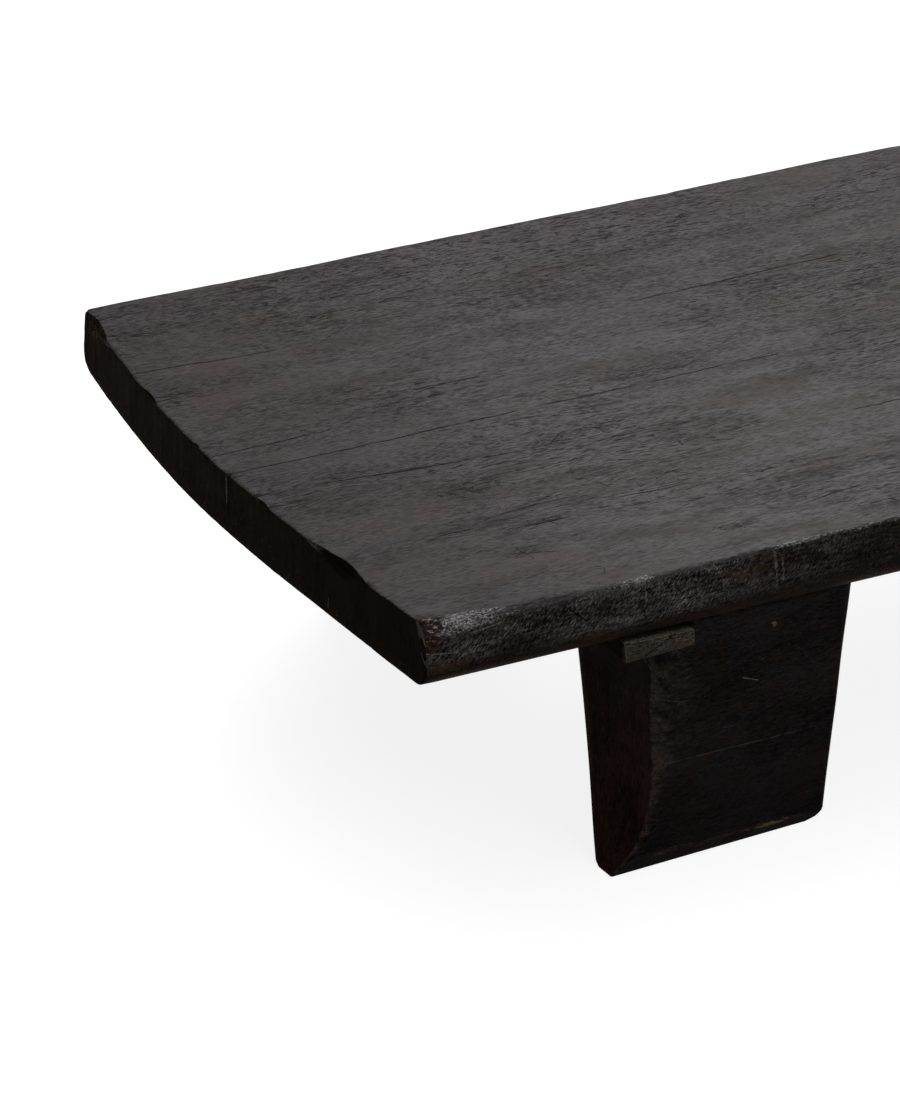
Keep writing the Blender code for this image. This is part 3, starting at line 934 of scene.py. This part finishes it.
kept_along = {round(a, 6) for a in along_lines[::3] + along_lines[-1:]}
kept_across = {round(a, 6) for a in across_lines[::3] + across_lines[-1:]}
spare = []  # the underside is seldom seen, and needs only a third of the lines
for edge in board.edges:
    a, b = (v.co for v in edge.verts)
    if a.z == b.z == 0:
        runs_across = abs(a.x - b.x) < 1e-6
        kept = round(a.x, 6) in kept_along if runs_across else round(a.y, 6) in kept_across
        if not kept:
            spare.append(edge)
bmesh.ops.dissolve_edges(board, edges=spare, use_verts=True)
print("board:", len(board.verts), "points,", len(board.faces), "faces")

# %% [markdown]
# ## Hewing and wearing the board
# The front left corner is the most worn: its edge is rolled over, as the photograph shows, and a long
# splinter is missing from the top of the end beside it. Each point learns whether it lies on the dark
# flank, on a worn edge, which also carries painted highlights, or in a check, so that the finish can
# follow the shape.

# %% Slab: where wood was lost
CORNER_WEAR = 0.018  # roll of the edge at the front left corner
WEAR_LENGTH = 0.10
CORNER_TAPER = 0.008  # how far the front side draws back at that corner
TAPER_LENGTH = 0.05
EDGE_WEAR = 0.0026
CHIP_END = 0.036  # past this distance from the edge no line moves for a chip
# Broken stretches of the left end's top edge: from, to, how far in and down, how dark
END_CHIPS = (
    (-0.136, -0.256, 0.011, 0.016, 1.0), (-0.036, -0.066, 0.004, 0.006, 0.4),
    (0.076, 0.092, 0.003, 0.004, 0.3), (0.169, 0.214, 0.005, 0.006, 0.4),
    (0.296, 0.374, 0.010, 0.014, 0.25),
)


def board_ends():
    """Where the board starts and ends along X, at each of its lines across."""
    found = {}
    for y in across_lines:
        probe = max(min(y, TOP_HALF - 0.008), -TOP_HALF + 0.008)
        height = (TOP_MIDDLE + UNDER_MIDDLE) / 2 + TOP_RISE * probe * probe
        left = land(SLAB_RULER, (-FAR, probe, height), (1, 0, 0)).x
        right = land(SLAB_RULER, (FAR, probe, height), (-1, 0, 0)).x
        found[round(y, 6)] = (left, right)
    return found


def chip_rim(y):
    """How far in and down the rim of a chip lies here, and how dark it is."""
    for start, stop, deep, low, dark in END_CHIPS:
        share = (y - start) / (stop - start)
        if 0 < share < 1:
            size = min(share**0.8 * 1.1, (1 - share) * 2.2) * (0.75 + 0.5 * ripple(y * 48, 4.0, 1.0))
            return deep * size, low * size, dark * smoothstep(0.15, 0.35, share)
    return 0.0, 0.0, 0.0


def drawn(distance, rim):
    """Moves the cut lines beside an edge so that one of them lies on the rim of a chip."""
    if rim <= 0 or distance >= CHIP_END:
        return distance
    if distance <= CHIP_LINES[1] + 1e-6:
        return distance * rim / CHIP_LINES[0]
    share = (distance - CHIP_LINES[1]) / (CHIP_END - CHIP_LINES[1])
    return between(CHIP_LINES[1] * rim / CHIP_LINES[0], CHIP_END, share)


CUT_REACH = 0.035  # how far a cut into an end or a side draws the faces beside it along
CUT_DEPTH = 0.0024  # of an end and of a side
SMALL_CUT, TOOL_LINES = 0.0014, 0.0006  # finer marks on an end
SIDE_WANDER = 0.0020  # of a side from a straight line


def end_cut(y, z, w, end):
    """How deep the tool bit into an end here."""
    cut = CUT_DEPTH * ripple(y * 7, z * 3, end) + SMALL_CUT * ripple(y * 29, z * 9, 5.0 + end)
    return cut * (0.25 + 0.75 * smoothstep(0, 0.6, w)) + TOOL_LINES * ripple(y * 85, z * 12, 8.0)


def side_cut(x, z, w, side):
    """How deep the drawknife bit into a long side here."""
    cut = CUT_DEPTH * facets(x * 25, z * 46, side * 5) + SIDE_WANDER * ripple(x * 5, side * 3, 9.0)
    return cut * (0.3 + 0.7 * smoothstep(0, 0.5, w))


ends = board_ends()
print("ends measured on", len(ends), "lines, chips:", len(END_CHIPS))

# %% Slab: move every point
HOLLOW, SMALL_HOLLOW = 0.0030, 0.0012  # depths of the adze's hollows in the top
UNDER_CUT = 0.0020  # depth of the flat cuts on the underside
KNOCK_DEPTH = 0.016  # of the deepest knocks on the top edge of an end
worn_and_lit_layer, check_layer, flank_layer = add_layers(board, "worn_and_lit", "check", "flank")
for point in board.verts:
    x0, y0, z0 = point.co
    v, w = y0 / TOP_HALF, z0 / THICKNESS
    on_top, on_under = w > 0.9999, w < 0.0001
    on_side, on_end = abs(v) > 0.9999, abs(x0) > HALF_LENGTH - 1e-6
    left, right = ends[round(y0, 6)]
    x = left + (x0 + HALF_LENGTH) / (2 * HALF_LENGTH) * (right - left)

    line, sunk, fall = y0, 0.0, 0.0
    for place, start, end, drift, depth, reach in CHECKS:
        line += grain_bend(x0, y0, place, start, end, drift) * (1 - v * v)
        if abs(y0 - place) < 1e-6:
            sunk, fall = depth * check_open(x0, start, end), reach
    v = line / TOP_HALF
    half = half_width(LOW_HEIGHT + w * (EDGE_HEIGHT - LOW_HEIGHT))
    y = v * half
    dip = HOLLOW * ripple(x * 7, line * 12, 0.0) + SMALL_HOLLOW * ripple(x * 18, line * 32, 3.0)
    dip *= between(1.0, 0.55, smoothstep(0.75, 1.0, abs(v)))  # the hollows of the top run out over its edges
    floor_z, roof_z = underside(v * LOW_EDGE), TOP_MIDDLE + TOP_RISE * (v * TOP_HALF) ** 2 - dip
    z = floor_z + w * (roof_z - floor_z)
    inward, beside, down = min(x - left, right - x), (1 - abs(v)) * half, roof_z - z
    to_end, to_side = (1 if x0 < 0 else -1), (1 if v < 0 else -1)
    rim_in, rim_down, ripe = chip_rim(y) if x0 < 0 and beside > 0.004 else (0.0, 0.0, 0.0)
    if on_top:
        x += to_end * (drawn(inward, rim_in) - inward)
        inward = drawn(inward, rim_in)
    if on_end:
        z -= drawn(down, rim_down) - down
        down = drawn(down, rim_down)

    # Tool marks on each face, which draw the faces beside it along
    end_in = side_in = 0.0
    if inward < CUT_REACH and (on_end or not on_under):
        end_in = end_cut(y, z, w, -to_end * HALF_LENGTH) * (1 - smoothstep(0, CUT_REACH, inward))
    if beside < CUT_REACH and (on_side or not on_under):
        side_in = side_cut(x, EDGE_HEIGHT if on_top else z, w, -to_side)
        if v < 0:
            side_in += CORNER_TAPER * exp(-(x - left) / TAPER_LENGTH) * smoothstep(0.05, 0.5, w)
        side_in *= 1 - smoothstep(0, CUT_REACH, beside)
    if on_end:
        sunk *= 1 - smoothstep(fall * 0.6, fall + 1e-4, down) if down > 0 else 1.0
        end_in += min(sunk * 0.8, 0.0012)
    x += to_end * end_in
    y += to_side * side_in
    if on_top:
        z -= sunk * smoothstep(0, 0.006, inward)
    if on_under:
        z += UNDER_CUT * facets(x * 11, y * 20, 6.0) * smoothstep(0.0, 0.04, min(inward, beside))

    # Worn and broken edges
    rub = ripple(x * 14, y * 14, 7.0)
    front_roll = EDGE_WEAR * (0.4 + 0.8 * rub * rub)
    if v < 0:
        front_roll += CORNER_WEAR * exp(-hypot(x - left, y + TOP_HALF) / WEAR_LENGTH)
    rolled_in, rolled_down = roll(beside, down, front_roll)
    knock = EDGE_WEAR * (0.5 + rub) + KNOCK_DEPTH * max(0.0, ripple(y * 44, 2.0 + x0, 0.0) - 0.52)
    knocked_in, knocked_down = roll(inward, down, knock * (1 - smoothstep(0, 0.004, rim_in)))
    upright_in, upright_beside = roll(inward, beside, 0.005 + 0.004 * rub)
    low_in, low_up = roll(inward, z - floor_z if on_end else 1.0, EDGE_WEAR * (0.3 + 0.8 * rub))
    chip = rim_in > 0 and (on_top or on_end) and inward / rim_in + down / rim_down < 1.0001
    chip_in, chip_down = shave(inward, down, rim_in, rim_down, 0.3) if chip else (0.0, 0.0)
    point.co = (
        x + to_end * (knocked_in + upright_in + low_in + chip_in),
        y + to_side * (rolled_in + upright_beside),
        z + low_up - rolled_down - knocked_down - chip_down,
    )
    # Wear on the edges: paler where rubbed, and partly painted highlights along the front edge
    corner = exp(-hypot(x - left, y + TOP_HALF) / WEAR_LENGTH) if v < 0 else 0.0
    off_edge = hypot(beside / (0.003 + 0.030 * corner), down / (0.005 + 0.024 * corner))
    near_edge = 1 - smoothstep(0.4, 1.0, off_edge)
    rubbed_and_lit = between(smoothstep(0.45, 0.65, ripple(x * 11, 5.0, v)), 1.0, exp(-(((x + 0.44) / 0.08) ** 2)))
    near_edge *= min(1.0, 1.6 * corner + rubbed_and_lit) if v < 0 else 0.7
    near_end = 0.6 * max(0.0, 1 - hypot(inward, down) / 0.0035)
    near_upright = 0.7 * max(0.0, 1 - hypot(inward, beside) / 0.007)
    point[worn_and_lit_layer] = max(near_edge, near_end * (not chip), near_upright, 0.8 * chip * (1 - ripe))
    point[check_layer] = min(max(sunk / 0.0016, chip * ripe), 1.0)

for face in board.faces:
    by_end = abs(face.calc_center_median().x) > HALF_LENGTH - 0.04
    if by_end and all(v[check_layer] > 0.15 for v in face.verts):
        face.material_index = 1  # a chip shows the same dry wood as the cut end
board.normal_update()
for point in board.verts:
    low, high = (0.30, 0.80) if point.co.y < 0 else (0.0, 0.4)  # behind, the top's paler colour runs on over the rolled edge, as painted light
    point[flank_layer] = 1 - smoothstep(low, high, point.normal.z)

# %% Slab: sockets for the dowels
JOINT_GAP = 0.0003
DOWEL_SIDES = 24


def sockets(nodes, low_spare, high_spare):
    """Round bores, a hair wider than these dowels and this much longer at their ends."""
    work = bmesh.new()
    for node in nodes:
        low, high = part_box(node)
        tall = high.z - low.z + low_spare + high_spare
        middle = ((low.x + high.x) / 2, (low.y + high.y) / 2, low.z - low_spare + tall / 2)
        radius = (high.x - low.x) / 2 + JOINT_GAP
        bmesh.ops.create_cone(
            work, cap_ends=True, segments=DOWEL_SIDES, radius1=radius, radius2=radius, depth=tall,
            matrix=Matrix.Translation(middle),
        )
    return work


dowels = [node for node in frame["nodes"] if node.startswith("dowel_")]
slab_finishes = (slab_wood, end_wood, flank_wood)
finish_piece("hewn_slab", board, slab_finishes, "tabletop_slab", sockets(dowels, 0, 0.001))

# %% [markdown]
# ## The legs
# Each leg is a wedge cut from a thick plank: broad along the table, deep under the slab and thin at
# the floor. It was set by eye, a few degrees out of line. The front outer corner was hewn off in a
# band that twists as it rises, so its section is given at a few heights and blended between them.

# %% Legs: frames and measures
LEG_TURN = radians(2.6)
CORNERS = {"front_left": (-1, -1), "front_right": (1, -1), "back_left": (-1, 1), "back_right": (1, 1)}
feet = {m["name"]: m["pos_m"] for m in frame["record"]["mounts"]}


def leg_frame(corner):
    """The frame of one leg: on the floor under its foot, +X to the table's middle and -Y outwards.
    Two of the four legs are the other hand, so their frame is mirrored."""
    side_x, side_y = CORNERS[corner]
    hand = side_x * side_y
    turn = (pi if side_y > 0 else 0) + hand * LEG_TURN
    place = Matrix.Translation(feet[f"foot_{corner}"]) @ Matrix.Rotation(turn, 4, "Z")
    return place @ Matrix.Diagonal((hand, 1, 1, 1))


def local_box(node, matrix):
    """Lowest and highest corner of a node's solid, in a frame of its own."""
    back = matrix.inverted()
    points = [back @ v.co for v in frame["nodes"][node].data.vertices]
    return [Vector(tuple(pick(p[i] for p in points) for i in range(3))) for pick in (min, max)]


def leg_faces(height):
    """Where the outward and the inward broad face of a leg lie at this height, in its own frame."""
    matrix = leg_frame("front_left")
    found = []
    for sign in (-1, 1):
        start, heading = matrix @ Vector((0, sign * FAR, height)), matrix.to_3x3() @ Vector((0, -sign, 0))
        found.append((matrix.inverted() @ land(LEG_RULER, start, heading)).y)
    return found


LEG_RULER = ruler("leg_front_left")
LOW_PROBE, HIGH_PROBE = 0.04, 0.20
LEG_LOW, LEG_HIGH = leg_faces(LOW_PROBE), leg_faces(HIGH_PROBE)
leg_box = local_box("leg_front_left", leg_frame("front_left"))
LEG_OUT, LEG_IN = leg_box[0].x, leg_box[1].x
print(f"leg from {LEG_OUT:.4f} to {LEG_IN:.4f}, faces {LEG_LOW} and {LEG_HIGH}")


# %% Legs: the hewn corner
# Height, then how far in the band begins on the front, and how far in and deep it ends on the flank
CORNER_SECTION = (
    (0.000, 0.003, 0.001, 0.001), (0.012, 0.016, 0.010, 0.003), (0.030, 0.032, 0.023, 0.004),
    (0.050, 0.040, 0.028, 0.005), (0.080, 0.033, 0.028, 0.003), (0.110, 0.037, 0.028, 0.004),
    (0.126, 0.046, 0.028, 0.009), (0.150, 0.048, 0.026, 0.011), (0.190, 0.050, 0.023, 0.014),
    (0.250, 0.052, 0.020, 0.018), (0.290, 0.053, 0.019, 0.020),
)
BAND_SHARE = 0.16  # of the grid lines across the flank


def corner_section(height):
    for lower, upper in zip(CORNER_SECTION, CORNER_SECTION[1:]):
        if height <= upper[0]:
            share = smoothstep(lower[0], upper[0], height)
            return [between(a, b, share) for a, b in zip(lower[1:], upper[1:])]
    return CORNER_SECTION[-1][1:]


def leg_face(which, height):
    """Place of the outward or inward face at this height, along the straight taper."""
    return between(LEG_LOW[which], LEG_HIGH[which], (height - LOW_PROBE) / (HIGH_PROBE - LOW_PROBE))


def leg_place(across, back, height, planes):
    """A point of the leg from its shares across and from front to back, between these four planes."""
    front_y, back_y, out_x, in_x = planes
    begin, inset, deep = corner_section(height)
    if back < BAND_SHARE:
        share = back / BAND_SHARE
        edge = Vector((between(begin, inset, share), deep * share**1.7))  # it leaves the front softly
    else:
        share = (back - BAND_SHARE) / (1 - BAND_SHARE)
        edge = Vector((inset * (1 - share), between(deep, back_y - front_y, share)))
    x = between(out_x + edge.x, in_x, across)
    return x, between(front_y + edge.y, between(front_y, back_y, back), across)


print("hewn corner:", len(CORNER_SECTION), "sections")

# %% Legs: hewn blocks
LEG_HEIGHT = 0.27  # of the blank, before its top is scribed
LEG_ARRIS = 0.010
BACK_ARRIS = 0.014
FRONT_CUT, FRONT_RIPPLE = 0.0013, 0.0008  # depths of the tool marks on each face
FLANK_CUT, FLANK_RIPPLE = 0.0012, 0.0010
BACK_CUT = 0.0020
FOOT_CUT = 0.004  # depth of the flat cut along the front of the foot
FOOT_TAPER = 0.008  # how far the back of the foot draws in at its outer end
FOOT_FLARE = 0.006  # how far its outer end stands out
DENT_PLACE, DENT_SIZE, DENT_DEPTH = (-0.084, 0.233), (0.0075, 0.012), 0.006


def eased(height, radius):
    """How far a face draws in, this high above a rounded edge."""
    left = min(max(radius - height, 0.0), radius)
    return radius - sqrt(radius**2 - left**2)


def leg_planes(across, height, seed):
    """The leg's four faces at this height, drawn in at the foot and at the rim under the slab."""
    chamfer = between(0.015, 0.011, across) * (0.9 + 0.2 * ripple(across * 4, 3.0, seed))
    rim = eased(LEG_HEIGHT - height, 0.0025)
    front_y = leg_face(0, height) + FOOT_CUT * max(0.0, 1 - height / chamfer) + rim
    low = 1 - smoothstep(0, 0.10, height)
    back_y = leg_face(1, height) - eased(height, 0.004) - FOOT_TAPER * (1 - across) * low
    return (front_y, back_y, LEG_OUT - FOOT_FLARE * low + rim, LEG_IN - eased(height, 0.013) - rim), chamfer


# %% Legs: hew, wear and fit
def hewn_leg(corner, seed):
    matrix = leg_frame(corner)
    band_lines = [BAND_SHARE * i / 6 for i in range(1, 7)]
    block = grid_block(
        even_lines(0, 1, 0.0145, (0.976, 0.984, 0.992)),
        even_lines(0, 1, 0.04, band_lines),
        even_lines(0, LEG_HEIGHT, 0.0032),
    )
    worn_and_lit, check, outer = add_layers(block, "worn_and_lit", "check", "outer")
    for point in block.verts:
        across, back, height = point.co
        on_outer, on_inner, on_front, on_back = across < 1e-6, across > 1 - 1e-6, back < 1e-6, back > 1 - 1e-6
        planes, chamfer = leg_planes(across, height, seed)
        x, y = leg_place(across, back, height, planes)
        front, behind, outward, inner = y - planes[0], planes[1] - y, x - planes[2], planes[3] - x

        # Rounded arrises: a narrow one in front, two broad ones behind
        depth = planes[1] - planes[0]
        used = between(0.6, 1.0, smoothstep(0, 0.18, height))  # crisper towards the foot
        arris = LEG_ARRIS * (0.8 + 0.5 * ripple(height * 11, 0, seed)) * used
        front_x, front_in = roll(inner, front, min(arris, depth * 0.3))
        inner_x, inner_in = roll(inner, behind, min(BACK_ARRIS * used, depth * 0.4))
        outer_x, outer_in = roll(outward, behind, min(BACK_ARRIS * used, depth * 0.4))
        x += outer_x - front_x - inner_x
        y += front_in - inner_in - outer_in

        # Tool marks, which fade out towards the sole, the rim and the rounded arrises
        fade = smoothstep(0, 0.012, height) * smoothstep(0, 0.008, LEG_HEIGHT - height)
        if on_front:
            cut = FRONT_CUT * facets(x * 15, height * 24, seed)
            cut += FRONT_RIPPLE * ripple(x * 40, height * 11, seed)
            y += cut * fade * smoothstep(0, 0.014, inner)
        if on_back:
            cut = BACK_CUT * facets(x * 15, height * 20, seed + 2)
            y -= cut * fade * smoothstep(0, 0.018, min(inner, outward))
        if on_outer or on_inner:
            cut = FLANK_CUT * facets(y * 26, height * 20, seed + 3)
            cut += FLANK_RIPPLE * ripple(y * 30, height * 12, seed)
            cut *= fade * smoothstep(0, 0.018, behind if on_outer else min(front, behind))
            x += cut if on_outer else -cut

        # A dent under the key, blackened as painted shade in its hollow, and a top that is scribed to the
        # slab
        off = hypot((x - DENT_PLACE[0]) / DENT_SIZE[0], (height - DENT_PLACE[1]) / DENT_SIZE[1])
        dent = exp(-off * off) if on_front or (on_outer and back < BAND_SHARE * 1.5) else 0.0
        y += DENT_DEPTH * dent
        roof = underside((matrix @ Vector((x, y, 0))).y) - JOINT_GAP
        point.co = matrix @ Vector((x, y, roof * height / LEG_HEIGHT))

        # rubbed wood on the band and the arrises, lightest at the band's outer edge, where it is partly a
        # painted highlight
        band = on_outer and back < BAND_SHARE * 1.01
        beyond = outward - corner_section(height)[0]  # distance from the band along the front
        rubbed_and_lit = 0.35 * exp(-max(beyond, 0.0) / 0.016) * on_front
        if band:
            rubbed_and_lit = between(0.35, 1.0, back / BAND_SHARE)
        rubbed_and_lit = max(rubbed_and_lit, 0.4 * (1 - smoothstep(0, 0.010, hypot(inner, front))))
        sole = max(0.0, 1 - abs(height - chamfer) / 0.006) * 0.6 * on_front
        point[worn_and_lit] = max(rubbed_and_lit * (0.55 + 0.45 * ripple(height * 14, back * 3, seed + 9)), sole)
        point[outer] = 1.0 if on_outer and back > BAND_SHARE * 1.1 else 0.5 * (band and back > 0.1)
        # painted shade: the dent goes black
        point[check] = min(dent * 0.8, 1.0)
    key_low, key_high = local_box(f"key_{corner}", matrix)
    low = Vector((key_low.x - 0.03, key_low.y - 0.03, key_low.z - JOINT_GAP))
    high = Vector((key_high.x + JOINT_GAP, key_high.y + JOINT_GAP, key_high.z + 0.05))
    cutter = sockets([node for node in dowels if node.startswith(f"dowel_{corner}_")], 0.001, 0.01)
    notch = matrix @ Matrix.Translation((low + high) / 2) @ Matrix.Diagonal((*(high - low), 1))
    bmesh.ops.create_cube(cutter, size=1, matrix=notch)
    finish_piece(f"hewn_leg_{corner}", block, (leg_wood,), f"leg_{corner}", cutter)


for i, corner in enumerate(CORNERS):
    hewn_leg(corner, 10.0 * i)

# %% [markdown]
# ## The keys
# A key is a sawn offcut, tapped in between leg and slab to take up the slack. It is lighter than the
# rest, with its saw marks left on, a split across its front, and a top that drops towards its inner end.

# %% Keys
KEY_ARRIS = 0.0012
KEY_DROP = 0.0035  # of the top, from the outer end to the inner one
KEY_SPLIT, SPLIT_HALF = 0.0020, 0.0016  # depth and half width
SAW_ROUGH, SAW_LINES = 0.0014, 0.0006  # depths of the saw marks on the front
END_ROUGH = 0.0012
KEY_CHIP = 0.004  # depth of the chip at the outer upper corner


def sawn_key(corner, seed):
    matrix = leg_frame(corner)
    low, high = local_box(f"key_{corner}", matrix)
    size = high - low
    block = grid_block(
        even_lines(low.x, high.x, 0.0012),
        even_lines(low.y, high.y, 0.0032),
        even_lines(low.z, high.z, 0.0010),
    )
    worn_and_lit, check, recess_shade = add_layers(block, "worn_and_lit", "check", "recess_shade")
    for point in block.verts:
        x, y, z = point.co
        gaps = [min(point.co[i] - low[i], high[i] - point.co[i]) for i in range(3)]
        to = [1 if point.co[i] - low[i] < high[i] - point.co[i] else -1 for i in range(3)]
        moves = [0.0, 0.0, 0.0]
        wear = KEY_ARRIS * (0.5 + 2.0 * ripple(x * 70, y * 30, z * 60 + seed))
        for i, j in ((0, 1), (1, 2), (0, 2)):
            first, second = roll(gaps[i], gaps[j], wear)
            moves[i] += first
            moves[j] += second
        front = y - low.y < 1e-6
        share_x, share_z = (x - low.x) / size.x, (z - low.z) / size.z
        split = 0.0
        if front:
            off = share_x - 0.22 - 0.50 * share_z + 0.05 * noise.noise(Vector((z * 300, seed, 0)))
            split = max(0.0, 1 - abs(off) * size.x / SPLIT_HALF)
            rough = SAW_ROUGH * ripple(x * 60 + z * 90, z * 160, seed)
            rough += SAW_LINES * ripple(x * 20, z * 420, seed)
            moves[1] += rough + KEY_SPLIT * split
        chip = exp(-((share_x / 0.10) ** 2) - ((1 - share_z) / 0.35) ** 2)
        moves[1] += KEY_CHIP * chip * (y - low.y < 0.006)
        if gaps[0] < 1e-6:
            moves[0] += END_ROUGH * ripple(y * 50, z * 140, seed + 4)
        x, y, z = (a + b * c for a, b, c in zip((x, y, z), to, moves))
        spot = matrix @ Vector((x, y, z))
        roof = underside(spot.y) - JOINT_GAP - KEY_DROP * share_x
        spot.z = min(spot.z - KEY_DROP * share_x * share_z, roof)
        point.co = spot
        behind = y - low.y
        on_roof = share_z > 0.999
        lit_ledge = (1 - smoothstep(0.006, 0.013, behind)) * on_roof  # painted light on the strip of its top that is seen
        point[worn_and_lit] = max(lit_ledge, front * (1 - gaps[0] / 0.006), front * (0.7 - (z - low.z) / 0.004), 0.0)
        torn = smoothstep(0.42, 0.62, ripple(x * 130, seed, 0.0)) * front
        torn *= max(0.0, 1 - abs(share_z - 0.93) / 0.07)
        point[check] = max(split, torn)
        # painted shade on the faces behind its front, in the gap under the slab
        point[recess_shade] = smoothstep(0.001, 0.009, behind) * (0.6 if on_roof else 0.95) * (1 - lit_ledge)
    finish_piece(f"sawn_key_{corner}", block, (key_wood,), f"key_{corner}")


for i, corner in enumerate(CORNERS):
    sawn_key(corner, 20.0 * i)
